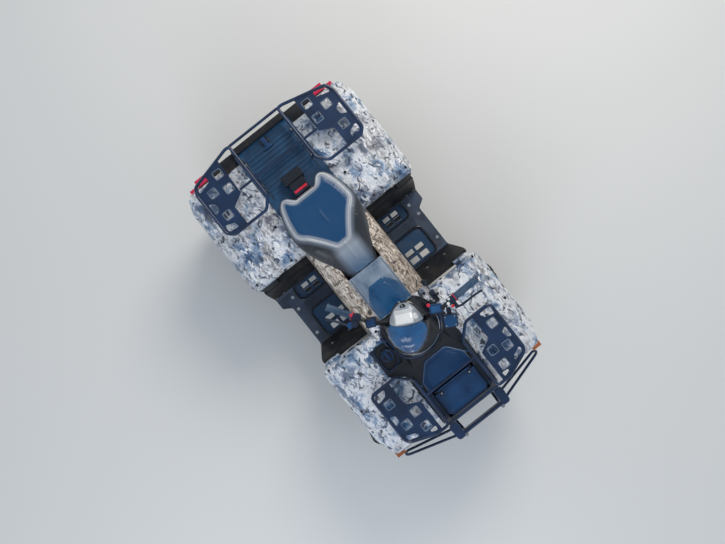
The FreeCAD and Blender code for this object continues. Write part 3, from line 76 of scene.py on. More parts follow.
def tint(tree, shader, place, millimetres, dark, pale, low=0.35, high=0.65, detail=4.0, stretch=(1, 1, 1)):
    # Colour that drifts between two tones in patches of a real size
    spread = addNode(tree, "ShaderNodeMapping", {"Scale": stretch}, {"Vector": place})
    patch = addNode(tree, "ShaderNodeTexNoise", {"Scale": 1000 / millimetres, "Detail": detail},
                    {"Vector": spread.outputs[0]})
    ramp = addNode(tree, "ShaderNodeValToRGB", {}, {"Fac": patch.outputs["Fac"]})
    ramp.color_ramp.elements[0].position = low
    ramp.color_ramp.elements[1].position = high
    ramp.color_ramp.elements[0].color = linear(dark)
    ramp.color_ramp.elements[1].color = linear(pale)
    tree.links.new(ramp.outputs["Color"], shader.inputs["Base Color"])
    return ramp.outputs["Color"], patch.outputs["Fac"]


def dusting(tree, shader, place, base, tone, millimetres, low, high, share, detail=8, coarse=0.7):
    # Dust that has settled in patches of a real size over the base tone
    speck = addNode(tree, "ShaderNodeTexNoise",
                    {"Scale": 1000 / millimetres, "Detail": detail, "Roughness": coarse}, {"Vector": place})
    amount = addNode(tree, "ShaderNodeMapRange", {"From Min": low, "From Max": high, "To Max": share},
                     {"Value": speck.outputs["Fac"]})
    dusty = addNode(tree, "ShaderNodeMix", {"data_type": "RGBA", 7: linear(tone)},
                    {0: amount.outputs["Result"], 6: base})
    tree.links.new(dusty.outputs[2], shader.inputs["Base Color"])


def relief(tree, shader, height, strength, metres):
    bump = addNode(tree, "ShaderNodeBump", {"Strength": strength, "Distance": metres}, {"Height": height})
    tree.links.new(bump.outputs["Normal"], shader.inputs["Normal"])
    return bump


def roughen(tree, shader, source, low, high):
    spread = addNode(tree, "ShaderNodeMapRange", {"From Min": 0.3, "From Max": 0.7, "To Min": low,
                                                  "To Max": high},
                     {"Value": source})
    tree.links.new(spread.outputs["Result"], shader.inputs["Roughness"])


# Materials, each from what the real surface is. Scales are in millimetres on the object.
def camouflageFilm(name, ground, layers, bare=None):
    # Printed film moulded onto polypropylene: satin, with shadows, bark, leaves and twigs over a pale ground.
    # bare picks the part of the moulding that the film leaves uncovered
    made, tree, shader, place = newMaterial(name, "#c9cfd6", 0.34, Coat_Weight=0.2, Coat_Roughness=0.18)
    wobble = addNode(tree, "ShaderNodeTexNoise", {"Scale": 1000 / 60, "Detail": 4}, {"Vector": place})
    shifted = addNode(tree, "ShaderNodeVectorMath", {"operation": "MULTIPLY_ADD", 1: (0.06, 0.06, 0.06)},
                      {0: wobble.outputs["Color"], 2: place})
    patches = addNode(tree, "ShaderNodeTexNoise", {"Scale": 1000 / 140, "Detail": 9, "Roughness": 0.62},
                      {"Vector": shifted.outputs[0]})
    colour = addNode(tree, "ShaderNodeValToRGB", {}, {"Fac": patches.outputs["Fac"]})
    band = colour.color_ramp
    band.elements[0].position, band.elements[0].color = ground[0][0], linear(ground[0][1])
    band.elements[1].position, band.elements[1].color = ground[-1][0], linear(ground[-1][1])
    for position, tone in ground[1:-1]:
        band.elements.new(position).color = linear(tone)
    for index, (pattern, millimetres, low, high, tone, strength, share) in enumerate(layers):
        stretch, turn = {"bark": ((0.16, 1, 1), 0.5), "leaf": ((1, 2.1, 1), 0.9 + index),
                         "twig": ((1, 1, 1), 0.4 + 1.9 * index), "shade": ((1, 1, 1), 0)}[pattern]
        spread = addNode(tree, "ShaderNodeMapping",
                         {"Scale": stretch, "Location": (index * 1.7, index, 0), "Rotation": (0, 0, turn)},
                         {"Vector": shifted.outputs[0]})
        if pattern == "twig":
            # Veins where a distorted wave is near its crest
            shape = addNode(tree, "ShaderNodeTexWave",
                            {"Scale": 314 / millimetres, "Distortion": 7.0, "Detail": 3.0,
                             "Detail Scale": 1.6},
                            {"Vector": spread.outputs[0]}).outputs["Fac"]
        elif pattern == "leaf":
            shape = addNode(tree, "ShaderNodeTexVoronoi", {"Scale": 1000 / millimetres},
                            {"Vector": spread.outputs[0]}).outputs["Distance"]
        else:
            shape = addNode(tree, "ShaderNodeTexNoise", {"Scale": 1000 / millimetres, "Detail": 6,
                                                         "Roughness": 0.6},
                            {"Vector": spread.outputs[0]}).outputs["Fac"]
        edge = addNode(tree, "ShaderNodeMapRange", {"From Min": low, "From Max": high, "To Max": strength},
                       {"Value": shape})
        reach = 38 if pattern == "twig" else 90 + 20 * index
        keep = addNode(tree, "ShaderNodeTexNoise", {"Scale": 1000 / reach, "Detail": 3},
                       {"Vector": spread.outputs[0]})
        kept = addNode(tree, "ShaderNodeMapRange", {"From Min": 0.60 - 0.24 * share,
                                                    "From Max": 0.68 - 0.24 * share},
                       {"Value": keep.outputs["Fac"]})
        factor = addNode(tree, "ShaderNodeMath", {"operation": "MULTIPLY"},
                         {0: edge.outputs["Result"], 1: kept.outputs["Result"]})
        colour = addNode(tree, "ShaderNodeMix", {"data_type": "RGBA", 7: linear(tone)},
                         {0: factor.outputs[0], 6: colour.outputs[2 if index else 0]})
    if bare:
        colour = addNode(tree, "ShaderNodeMix", {"data_type": "RGBA", 7: linear("#0e141d")},
                         {0: bare(tree, place), 6: colour.outputs[2]})
    tree.links.new(colour.outputs[2], shader.inputs["Base Color"])
    grain = addNode(tree, "ShaderNodeTexNoise", {"Scale": 1000 / 1.5, "Detail": 2}, {"Vector": place})
    relief(tree, shader, grain.outputs["Fac"], 0.12, 0.0004)
    roughen(tree, shader, patches.outputs["Fac"], 0.28, 0.46)
    return made


# Where tones change, in metres. A pair is where the change starts and where it is done.
toneEdges = {
    # the film ends about the middle of the footwells, and round the collar of the console
    "footwellMiddle": -0.0565, "footwell": (0.281, 0.276), "collarMiddle": 0.345,
    "collar": (0.174, 0.170), "consoleRear": (0.318, 0.324),
    # heights of the upright ends of the footwells and of the floors of their recesses
    "guard": (0.387, 0.396), "recess": (0.3785, 0.3765),
    # the nose of the seat: where it begins, how broad it is, and how its painted sheen darkens towards the
    # tank
    "noseStart": (-0.27, -0.21), "noseSide": (0.098, 0.050), "noseFade": (-0.25, -0.09),
}


def fenderWall(tree, place):
    # The upright walls of the fenders towards the footwells carry no film
    along = addNode(tree, "ShaderNodeSeparateXYZ", {}, {"Vector": place})
    middle = addNode(tree, "ShaderNodeMath", {"operation": "SUBTRACT", 1: toneEdges["footwellMiddle"]},
                     {0: along.outputs["X"]})
    away = addNode(tree, "ShaderNodeMath", {"operation": "ABSOLUTE"}, {0: middle.outputs[0]})
    start, end = toneEdges["footwell"]
    return addNode(tree, "ShaderNodeMapRange", {"From Min": start, "From Max": end},
                   {"Value": away.outputs[0]}).outputs["Result"]


def consoleMiddle(tree, place):
    # Only the rear corners of the console, behind and outside the collar, carry film
    flat = addNode(tree, "ShaderNodeVectorMath", {"operation": "MULTIPLY", 1: (1, 1, 0)}, {0: place})
    centre = (toneEdges["collarMiddle"], 0, 0)
    reach = addNode(tree, "ShaderNodeVectorMath", {"operation": "DISTANCE", 1: centre}, {0: flat.outputs[0]})
    start, end = toneEdges["collar"]
    inside = addNode(tree, "ShaderNodeMapRange", {"From Min": start, "From Max": end},
                     {"Value": reach.outputs["Value"]})
    along = addNode(tree, "ShaderNodeSeparateXYZ", {}, {"Vector": place})
    start, end = toneEdges["consoleRear"]
    ahead = addNode(tree, "ShaderNodeMapRange", {"From Min": start, "From Max": end},
                    {"Value": along.outputs["X"]})
    return addNode(tree, "ShaderNodeMath", {"operation": "MAXIMUM"},
                   {0: inside.outputs["Result"], 1: ahead.outputs["Result"]}).outputs[0]


def grainedPlastic(name, dark, pale, roughness, dust, grainSize=1.2, coat=0.0):
    # Polypropylene or ABS moulded in a spark-eroded tool: fine leathery grain, dust in the low places
    made, tree, shader, place = newMaterial(name, dark, roughness, Coat_Weight=coat, Coat_Roughness=0.12)
    tone, patch = tint(tree, shader, place, 90, dark, pale)
    if dust > 0:
        dusting(tree, shader, place, tone, "#6d5844", 60, 0.52, 0.78, dust)
    cells = addNode(tree, "ShaderNodeTexVoronoi", {"Scale": 1000 / grainSize}, {"Vector": place})
    relief(tree, shader, cells.outputs["Distance"], 0.25, 0.0003)
    roughen(tree, shader, patch, roughness - 0.06, roughness + 0.08)
    return made


def footwellPlastic(name, floorTone, guardTone):
    # Coarse-grained polypropylene: washed floor, and near-black upright ends
    made, tree, shader, place = newMaterial(name, floorTone, 0.5)
    height = addNode(tree, "ShaderNodeSeparateXYZ", {}, {"Vector": place})
    start, end = toneEdges["guard"]
    upright = addNode(tree, "ShaderNodeMapRange", {"From Min": start, "From Max": end},
                      {"Value": height.outputs["Z"]})
    tone, patch = tint(tree, shader, place, 80, floorTone, "#3a4b61")
    start, end = toneEdges["recess"]
    sunk = addNode(tree, "ShaderNodeMapRange", {"From Min": start, "From Max": end},
                   {"Value": height.outputs["Z"]})
    recess = addNode(tree, "ShaderNodeMix", {"data_type": "RGBA", 7: linear("#0d3c60")},
                     {0: sunk.outputs["Result"], 6: tone})
    base = addNode(tree, "ShaderNodeMix", {"data_type": "RGBA", 7: linear(guardTone)},
                   {0: upright.outputs["Result"], 6: recess.outputs[2]})
    dusting(tree, shader, place, base.outputs[2], "#5f5346", 70, 0.5, 0.78, 0.5, 9)
    cells = addNode(tree, "ShaderNodeTexVoronoi", {"Scale": 1000 / 1.6}, {"Vector": place})
    relief(tree, shader, cells.outputs["Distance"], 0.3, 0.0004)
    roughen(tree, shader, patch, 0.44, 0.62)
    return made


def castMetal(name, dark, pale, roughness, metallic, grainSize=2.5, strength=0.25):
    # Sand or die casting: small pits, and tone that drifts where it was handled
    made, tree, shader, place = newMaterial(name, dark, roughness, metallic)
    patch = tint(tree, shader, place, 45, dark, pale)[1]
    pits = addNode(tree, "ShaderNodeTexNoise", {"Scale": 1000 / grainSize, "Detail": 3}, {"Vector": place})
    relief(tree, shader, pits.outputs["Fac"], strength, 0.0006)
    roughen(tree, shader, patch, roughness - 0.08, roughness + 0.1)
    return made


def powderCoat(name, dark, pale, roughness=0.36):
    # Powder-coated steel: orange peel about 3 mm across, slightly glossy
    made, tree, shader, place = newMaterial(name, dark, roughness, Coat_Weight=0.35, Coat_Roughness=0.2)
    patch = tint(tree, shader, place, 130, dark, pale)[1]
    peel = addNode(tree, "ShaderNodeTexNoise", {"Scale": 1000 / 3, "Detail": 1}, {"Vector": place})
    relief(tree, shader, peel.outputs["Fac"], 0.15, 0.0004)
    roughen(tree, shader, patch, roughness - 0.06, roughness + 0.08)
    return made


def softRubber(name, dark, pale, dust, roughness=0.68):
    # Vulcanised rubber: matt, with a bloom of dust
    made, tree, shader, place = newMaterial(name, dark, roughness)
    tone = tint(tree, shader, place, 70, dark, pale)[0]
    dusting(tree, shader, place, tone, "#6f6250", 35, 0.45, 0.75, dust, 7, 0.65)
    fine = addNode(tree, "ShaderNodeTexNoise", {"Scale": 1000 / 1.8, "Detail": 3}, {"Vector": place})
    relief(tree, shader, fine.outputs["Fac"], 0.2, 0.0005)
    return made


def lens(name, colour, other=None, axis="X", edge=0.0):
    # Injection-moulded acrylic with flutes behind a smooth face; the other tone is on the low side of the
    # edge along an axis
    made, tree, shader, place = newMaterial(name, colour, 0.12, Coat_Weight=1.0, Coat_Roughness=0.05,
                                            IOR=1.49)
    tone = tint(tree, shader, place, 25, colour, colour)[0]
    if other:
        spot = addNode(tree, "ShaderNodeSeparateXYZ", {}, {"Vector": place})
        reach = addNode(tree, "ShaderNodeMath", {"operation": "ABSOLUTE" if axis == "Y" else "ADD", 1: 0.0},
                        {0: spot.outputs[axis]})
        below = addNode(tree, "ShaderNodeMath", {"operation": "LESS_THAN", 1: edge}, {0: reach.outputs[0]})
        split = addNode(tree, "ShaderNodeMix", {"data_type": "RGBA", 7: linear(other)},
                        {0: below.outputs[0], 6: tone})
        tree.links.new(split.outputs[2], shader.inputs["Base Color"])
    flutes = addNode(tree, "ShaderNodeTexWave", {"bands_direction": "Y", "Scale": 1000 / 40,
                                                 "Distortion": 0.0},
                     {"Vector": place})
    relief(tree, shader, flutes.outputs["Fac"], 0.35, 0.0012)
    return made


def brushed(name, dark, pale, roughness, millimetres=1.6, stretch=(0.05, 1, 1)):
    # Drawn or rolled metal: hairlines along the way it was worked
    made, tree, shader, place = newMaterial(name, dark, roughness, 1.0)
    tint(tree, shader, place, 60, dark, pale)
    spread = addNode(tree, "ShaderNodeMapping", {"Scale": stretch}, {"Vector": place})
    hairs = addNode(tree, "ShaderNodeTexNoise", {"Scale": 1000 / millimetres, "Detail": 2},
                    {"Vector": spread.outputs[0]})
    relief(tree, shader, hairs.outputs["Fac"], 0.15, 0.0003)
    roughen(tree, shader, hairs.outputs["Fac"], roughness - 0.08, roughness + 0.08)
    return made


def seatVinyl(name, top, paintedHighlight, shoulder, skirt, nose):
    # Expanded vinyl over foam: deep tone on the sewn top panel, a painted highlight band just outside the
    # seam that fades into painted shade on the skirt, painted shade where the cover faces sideways, and a
    # painted sheen on the nose
    made, tree, shader, place = newMaterial(name, top, 0.38, Sheen_Weight=0.3, Sheen_Roughness=0.35)
    gap = addNode(tree, "ShaderNodeAttribute", {"attribute_name": "seam_gap"})
    # By distance from the seam: the top tone inside, a painted highlight just outside, then painted shade out
    # on the skirt
    sewn = addNode(tree, "ShaderNodeValToRGB", {}, {"Fac": gap.outputs["Fac"]})
    band = sewn.color_ramp
    band.elements[0].position, band.elements[0].color = 0.37, linear(top)
    band.elements[1].position, band.elements[1].color = 0.74, linear(skirt)
    for position, tone in ((0.505, paintedHighlight), (0.54, paintedHighlight), (0.61, shoulder)):
        band.elements.new(position).color = linear(tone)
    along = addNode(tree, "ShaderNodeSeparateXYZ", {}, {"Vector": place})
    start, end = toneEdges["noseStart"]
    front = addNode(tree, "ShaderNodeMapRange", {"From Min": start, "From Max": end},
                    {"Value": along.outputs["X"]})
    aside = addNode(tree, "ShaderNodeMath", {"operation": "ABSOLUTE"}, {0: along.outputs["Y"]})
    start, end = toneEdges["noseSide"]
    middle = addNode(tree, "ShaderNodeMapRange", {"From Min": start, "From Max": end},
                     {"Value": aside.outputs[0]})
    noseShare = addNode(tree, "ShaderNodeMath", {"operation": "MULTIPLY"},
                        {0: front.outputs["Result"], 1: middle.outputs["Result"]})
    start, end = toneEdges["noseFade"]
    fall = addNode(tree, "ShaderNodeMapRange", {"From Min": start, "From Max": end},
                   {"Value": along.outputs["X"]})
    # Painted sheen: pale on the rear of the nose, fading to the nose tone towards the tank
    noseSheen = addNode(tree, "ShaderNodeMix", {"data_type": "RGBA", 6: linear("#a3adb8"), 7: linear(nose)},
                       {0: fall.outputs["Result"]})
    sewn = addNode(tree, "ShaderNodeMix", {"data_type": "RGBA"},
                   {0: noseShare.outputs[0], 6: sewn.outputs["Color"], 7: noseSheen.outputs[2]})
    # Painted shade: the parts of the cover that face sideways take the dark skirt tone
    facing = addNode(tree, "ShaderNodeSeparateXYZ", {}, {"Vector": place.node.outputs["Normal"]})
    side = addNode(tree, "ShaderNodeMapRange", {"From Min": 0.62, "From Max": 0.40},
                   {"Value": facing.outputs["Z"]})
    whole = addNode(tree, "ShaderNodeMix", {"data_type": "RGBA", 7: linear(skirt)},
                    {0: side.outputs["Result"], 6: sewn.outputs[2]})
    tree.links.new(whole.outputs[2], shader.inputs["Base Color"])
    pores = addNode(tree, "ShaderNodeTexVoronoi", {"Scale": 1000 / 1.6}, {"Vector": place})
    folds = addNode(tree, "ShaderNodeTexNoise", {"Scale": 1000 / 55, "Detail": 2}, {"Vector": place})
    height = addNode(tree, "ShaderNodeMath", {"operation": "MULTIPLY_ADD", 1: 0.25},
                     {0: pores.outputs["Distance"], 2: folds.outputs["Fac"]})
    relief(tree, shader, height.outputs[0], 0.18, 0.0015)
    roughen(tree, shader, folds.outputs["Fac"], 0.34, 0.46)
    return made


snowGround = [(0.30, "#17365a"), (0.38, "#466a93"), (0.44, "#9db0c7"), (0.51, "#e6eaf0"), (0.59, "#d3d6da"),
              (0.66, "#8c8f9b"), (0.74, "#3c4154")]
barkGround = [(0.28, "#4d5866"), (0.38, "#a2978b"), (0.46, "#dccfc1"), (0.56, "#f1e9de"), (0.66, "#c0a58b"),
              (0.76, "#6f5845")]
# Pattern, size in mm, low and high edge, tone, strength, share of the surface that keeps it
snowLayers = [
    ("shade", 170, 0.48, 0.60, "#2f4e74", 0.8, 0.55), ("bark", 14, 0.46, 0.60, "#5d5650", 0.7, 0.25),
    ("leaf", 58, 0.40, 0.34, "#16324f", 0.9, 0.30), ("leaf", 44, 0.36, 0.29, "#f2f4f8", 0.95, 0.50),
    ("leaf", 30, 0.32, 0.26, "#5b7699", 0.85, 0.50), ("leaf", 36, 0.26, 0.21, "#7a6a5e", 0.7, 0.18),
    ("twig", 96, 0.90, 0.97, "#14233a", 0.9, 0.42), ("twig", 54, 0.93, 0.98, "#22364f", 0.85, 0.42),
]
barkLayers = [
    ("shade", 120, 0.52, 0.62, "#8a7a6c", 0.7, 0.5), ("bark", 10, 0.44, 0.56, "#57432f", 0.85, 0.95),
    ("leaf", 40, 0.30, 0.24, "#f4ede2", 0.8, 0.4), ("twig", 90, 0.90, 0.97, "#2e2a2c", 0.9, 0.42),
]
finishes = {
    "camouflage": camouflageFilm("camouflage_film_on_polypropylene", snowGround, snowLayers, fenderWall),
    "camouflageConsole": camouflageFilm("camouflage_film_console", snowGround, snowLayers, consoleMiddle),
    "camouflageBark": camouflageFilm("camouflage_film_bark_side", barkGround, barkLayers),
    "panel": grainedPlastic("grained_polypropylene", "#04101f", "#0a2442", 0.42, 0.12),
    "guard": grainedPlastic("matt_polypropylene", "#0c1017", "#191d24", 0.62, 0.55, 1.6),
    "floor": footwellPlastic("footwell_polypropylene", "#283244", "#0b0f15"),
    "deck": grainedPlastic("deck_mat_moulding", "#0a3759", "#164a70", 0.5, 0.12, 1.4),
    "lid": grainedPlastic("lid_moulding", "#03305a", "#08406f", 0.36, 0.0, 1.0),
    "gloss": grainedPlastic("gloss_abs", "#04406f", "#0a5a92", 0.16, 0.0, 0.8, coat=0.8),
    "tank": grainedPlastic("tank_cover_abs", "#0a4470", "#1a5480", 0.3, 0.0, 0.9, coat=0.3),
    "silver": grainedPlastic("silver_painted_abs", "#5f7288", "#8d9db0", 0.3, 0.0, 0.9, coat=0.4),
    "blackGloss": grainedPlastic("black_gloss_abs", "#02060d", "#050c17", 0.2, 0.0, 0.8, coat=0.6),
    "rack": powderCoat("powder_coated_steel", "#011c3a", "#032b54", 0.3),
    "frameSteel": powderCoat("frame_powder_coat", "#0c1118", "#161c25", 0.42),
    "casting": castMetal("black_iron_casting", "#14171b", "#24282d", 0.6, 0.3),
    "engine": castMetal("die_cast_aluminium", "#6d7075", "#8e9196", 0.42, 0.9, 1.8, 0.2),
    "wheel": castMetal("painted_cast_aluminium", "#2a2e33", "#3a3f46", 0.34, 0.6, 1.5, 0.1),
    "skid": brushed("rolled_aluminium_sheet", "#8e9296", "#a9adb1", 0.4),
    "exhaust": brushed("stainless_steel_tube", "#6c655d", "#8b867f", 0.36),
    "zinc": brushed("zinc_plated_steel", "#a5a8a8", "#c2c4c2", 0.32, 1.0, (1, 1, 1)),
    "spring": powderCoat("spring_powder_coat", "#1a1c20", "#282b30", 0.34),
    "damperRod": brushed("hard_chromed_rod", "#c4c7ca", "#d6d8da", 0.14, 1.0, (1, 1, 1)),
    "tyre": softRubber("tyre_rubber", "#0e0f11", "#1a1b1d", 0.45),
    "grip": softRubber("grip_rubber", "#2b4560", "#44617d", 0.15, 0.55),
    "hose": softRubber("hose_rubber", "#07090c", "#101318", 0.05, 0.5),
    # Seat tones: top, painted highlight, its fade, painted shade on the skirt and sides, nose
    "seat": seatVinyl("seat_vinyl", "#00426f", "#bfc5cc", "#667180", "#262c34", "#4a6583"),
    "thread": softRubber("waxed_thread", "#0d2a47", "#163a5e", 0.0, 0.6),
    "bezel": grainedPlastic("bezel_painted_abs", "#76828f", "#a4adb6", 0.3, 0.0, 0.9, coat=0.4),
    "screenFrame": grainedPlastic("screen_surround", "#c3c8cc", "#d6dadd", 0.4, 0.0, 0.9),
    "screen": grainedPlastic("display_window", "#e6eaec", "#f3f5f5", 0.16, 0.0, 0.8, coat=0.8),
    "redBar": grainedPlastic("red_moulded_polypropylene", "#c8102c", "#e02a45", 0.4, 0.0, 1.0),
    "clear": lens("clear_polycarbonate", "#dfe6ec"),
    "red": lens("red_acrylic", "#d00645", "#0c1118", "Y", 0.372),
    "amber": lens("amber_and_red_acrylic", "#a85a22", "#d00645", "X", 0.0),
}
print("materials made:", len(finishes))


# Finish of the CAD nodes that show as they are
dressed = {
    "camouflage": "front_fender_left front_fender_right rear_fender_left rear_fender_right",
    "camouflageBark": "side_panel_left side_panel_right",
    "camouflageConsole": "front_console",
    "panel": "front_nose storage_tray seat_rear_block fuel_cap gear_lever controls",
    "lid": "front_lid",
    "deck": "rear_deck",
    "floor": "footwell_left footwell_right",
    "silver": "tank_cover",
    "gloss": "instrument_pod",
    "seat": "seat",
    "grip": "grips",
    "rack": "front_rack rear_rack front_bumper",
    "frameSteel": ("frame_left frame_right frame_cross_tubes front_suspension rear_suspension tow_hitch "
                   "handlebar tie_rod_left tie_rod_right"),
    "casting": "knuckle_left knuckle_right driveline",
    "engine": "engine",
    "wheel": "front_rim_left front_rim_right rear_rim_left rear_rim_right",
    "skid": "skid_plate",
    "exhaust": "exhaust",
    "spring": "dampers",
    "tyre": "front_tyre_left front_tyre_right rear_tyre_left rear_tyre_right",
    "clear": "headlamps",
    "red": "tail_lamps",
    "amber": "corner_lamps",
}
for finish, names in dressed.items():
    for name in names.split():
        nodes[name].data.materials.clear()
        nodes[name].data.materials.append(finishes[finish])


# Pieces and Geometry Nodes trees
scene = bpy.context.scene


def addPiece(name, mesh, finish, body, smooth=30, place=None):
    # A finished piece: its place goes into its mesh, so the object stays at the origin
    if place:
        mesh.transform(place)
    piece = bpy.data.objects.new(name, mesh)
    scene.collection.objects.link(piece)
    mesh.materials.clear()
    mesh.materials.append(finishes[finish])
    for face in mesh.polygons:
        face.material_index = 0
    if smooth:
        mesh.shade_smooth()
        mesh.set_sharp_from_angle(angle=math.radians(smooth))
    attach(piece, body)
    return piece


def shapeMesh(name, points, faces):
    mesh = bpy.data.meshes.new(name)
    mesh.from_pydata([tuple(point) for point in points], [], faces)
    mesh.validate()
    return mesh


def ringFaces(count, rings):
    # The faces between closed rings of count points each
    faces = []
    for ring in range(rings - 1):
        for index in range(count):
            after = (index + 1) % count
            faces.append((ring * count + index, ring * count + after, (ring + 1) * count + after,
                          (ring + 1) * count + index))
    return faces


def tidyMesh(mesh, distance=0.00002):
    # Doubles merged and faces turned outwards
    work = bmesh.new()
    work.from_mesh(mesh)
    bmesh.ops.remove_doubles(work, verts=work.verts, dist=distance)
    bmesh.ops.recalc_face_normals(work, faces=work.faces)
    work.to_mesh(mesh)
    work.free()
    return mesh


def joinMeshes(name, meshes):
    work = bmesh.new()
    for mesh in meshes:
        work.from_mesh(mesh)
    whole = bpy.data.meshes.new(name)
    work.to_mesh(whole)
    work.free()
    return whole


def builtMesh(holder):
    # What an object looks like once its modifiers or its curve have run
    return bpy.data.meshes.new_from_object(holder.evaluated_get(bpy.context.evaluated_depsgraph_get()))


def newTree(name, inputs):
    tree = bpy.data.node_groups.new(name, "GeometryNodeTree")
    tree.interface.new_socket("Geometry", in_out="OUTPUT", socket_type="NodeSocketGeometry")
    tree.interface.new_socket("Geometry", in_out="INPUT", socket_type="NodeSocketGeometry")
    for label, kind, value in inputs:
        socket = tree.interface.new_socket(label, in_out="INPUT", socket_type="NodeSocket" + kind)
        if value is not None:
            socket.default_value = value
    tree.interface.new_socket("Finish", in_out="INPUT", socket_type="NodeSocketMaterial")
    return tree, tree.nodes.new("NodeGroupInput").outputs


def endTree(tree, given, geometry):
    real = addNode(tree, "GeometryNodeRealizeInstances", {}, {"Geometry": geometry})
    coat = addNode(tree, "GeometryNodeSetMaterial", {}, {"Geometry": real.outputs[0],
                                                         "Material": given["Finish"]})
    addNode(tree, "NodeGroupOutput", {}, {"Geometry": coat.outputs[0]})
    return tree


def grow(name, tree, base, values, finish, body, place=None, smooth=30):
    # Runs a tree on a mesh and keeps the result as one plain mesh
    holder = bpy.data.objects.new(name + "_maker", base)
    scene.collection.objects.link(holder)
    modifier = holder.modifiers.new("nodes", "NODES")
    modifier.node_group = tree
    keys = {item.name: item.identifier for item in tree.interface.items_tree if item.in_out == "INPUT"}
    for label, value in values.items():
        modifier[keys[label]] = value
    modifier[keys["Finish"]] = finishes[finish]
    bpy.context.view_layer.update()
    made = builtMesh(holder)
    made.name = name
    holder.modifiers.remove(modifier)
    bpy.data.objects.remove(holder)
    return addPiece(name, made, finish, body, smooth, place)


def spotsMesh(name, spots):
    # Loose points, each with the way that it faces
    mesh = bpy.data.meshes.new(name)
    mesh.from_pydata([tuple(spot[0]) for spot in spots], [], [])
    facing = mesh.attributes.new("facing", "FLOAT_VECTOR", "POINT")
    for index, spot in enumerate(spots):
        facing.data[index].vector = spot[1]
    return mesh


def boltTree():
    # Hex or round heads on washers, one at each point, turned to face outwards
    tree, given = newTree("bolt_heads", [
        ("Head Radius", "Float", 0.006), ("Head Height", "Float", 0.005), ("Head Sides", "Int", 6),
        ("Washer Radius", "Float", 0.009), ("Washer Height", "Float", 0.0015)])
    washer = addNode(tree, "GeometryNodeMeshCylinder", {"Vertices": 20},
                     {"Radius": given["Washer Radius"], "Depth": given["Washer Height"]})
    narrow = addNode(tree, "ShaderNodeMath", {"operation": "MULTIPLY", 1: 0.86}, {0: given["Head Radius"]})
    head = addNode(tree, "GeometryNodeMeshCone", {},
                   {"Vertices": given["Head Sides"], "Radius Bottom": given["Head Radius"],
                    "Radius Top": narrow.outputs[0], "Depth": given["Head Height"]})
    whole = addNode(tree, "GeometryNodeJoinGeometry", {}, {"Geometry": washer.outputs["Mesh"]})
    tree.links.new(head.outputs["Mesh"], whole.inputs["Geometry"])
    way = addNode(tree, "GeometryNodeInputNamedAttribute", {"data_type": "FLOAT_VECTOR", "Name": "facing"})
    turn = addNode(tree, "FunctionNodeAlignRotationToVector", {"axis": "Z"}, {"Vector": way.outputs[0]})
    spread = addNode(tree, "GeometryNodeInstanceOnPoints", {},
                     {"Points": given["Geometry"], "Instance": whole.outputs[0], "Rotation": turn.outputs[0]})
    return endTree(tree, given, spread.outputs[0])


bolts = boltTree()


def boltRow(name, spots, finish, body, radius=6, height=5, sides=6, washer=9, place=None):
    # Spots are (point, facing) pairs in millimetres
    inMetres = [(Vector(point) / 1000, facing) for point, facing in spots]
    return grow(name, bolts, spotsMesh(name, inMetres), {
        "Head Radius": radius / 1000, "Head Height": height / 1000, "Head Sides": sides,
        "Washer Radius": washer / 1000, "Washer Height": 0.0016}, finish, body, place)


def ringTree():
    # One shape repeated round the Y axis
    tree, given = newTree("pitch_ring", [("Pitch Count", "Int", 18), ("Shape", "Object", None)])
    line = addNode(tree, "GeometryNodeMeshLine", {"Offset": (0, 0, 0)}, {"Count": given["Pitch Count"]})
    step = addNode(tree, "ShaderNodeMath", {"operation": "DIVIDE", 0: 2 * math.pi}, {1: given["Pitch Count"]})
    count = addNode(tree, "GeometryNodeInputIndex")
    angle = addNode(tree, "ShaderNodeMath", {"operation": "MULTIPLY"},
                    {0: step.outputs[0], 1: count.outputs[0]})
    turn = addNode(tree, "ShaderNodeCombineXYZ", {}, {"Y": angle.outputs[0]})
    shape = addNode(tree, "GeometryNodeObjectInfo", {}, {"Object": given["Shape"]})
    spread = addNode(tree, "GeometryNodeInstanceOnPoints", {},
                     {"Points": line.outputs[0], "Instance": shape.outputs["Geometry"],
                      "Rotation": turn.outputs[0]})
    whole = addNode(tree, "GeometryNodeJoinGeometry", {}, {"Geometry": spread.outputs[0]})
    tree.links.new(given["Geometry"], whole.inputs["Geometry"])
    return endTree(tree, given, whole.outputs[0])


pitchRing = ringTree()


# Places of the moving bodies at rest, as in the CAD frame
clampPoint = Vector((0.296, 0, 1.080))
lean = math.radians(18.2)
columnAxis = Vector((-math.sin(lean), 0, math.cos(lean)))
barPlace = (Matrix.Translation(clampPoint) @ Matrix.Rotation(math.radians(-28.6), 4, columnAxis)
            @ Matrix.Translation(-clampPoint))
corners = {}
for hand, sign in (("left", 1), ("right", -1)):
    pivot = Vector((0.605, sign * 0.380, 0))
    swing = (Matrix.Translation(pivot) @ Matrix.Rotation(math.radians(-20), 4, "Z")
             @ Matrix.Translation(-pivot))
    facing = Matrix.Rotation(0 if sign > 0 else math.pi, 4, "Z")
    corners["front_" + hand] = (swing @ Matrix.Translation((0.605, sign * 0.435, 0.317)) @ facing,
                                "front_wheel_" + hand, "knuckle_" + hand)
    corners["rear_" + hand] = (Matrix.Translation((-0.675, sign * 0.455, 0.317)) @ facing,
                               "rear_wheel_" + hand, "chassis")

tyreSizes = {
    "front": {"width": 203, "radius": 317, "lug": 16, "pitches": 17, "lugWidth": 25, "sweep": 17},
    "rear": {"width": 254, "radius": 317, "lug": 16, "pitches": 17, "lugWidth": 27, "sweep": 19},
}
rimRadius = 152
# A lug: steps along it, how far it runs past the shoulder, where and how much it tapers there, how its sweep
# grows, how deep its foot is sunk, and the width of foot and crest as shares of the nominal width
lugShape = {"stations": 9, "pastShoulder": 26, "taperFrom": 0.72, "taperLength": 0.28, "taper": 0.75,
            "sweepPower": 1.15, "sunk": -2, "footShare": 1.12, "crestShare": 0.86, "short": 0.55}


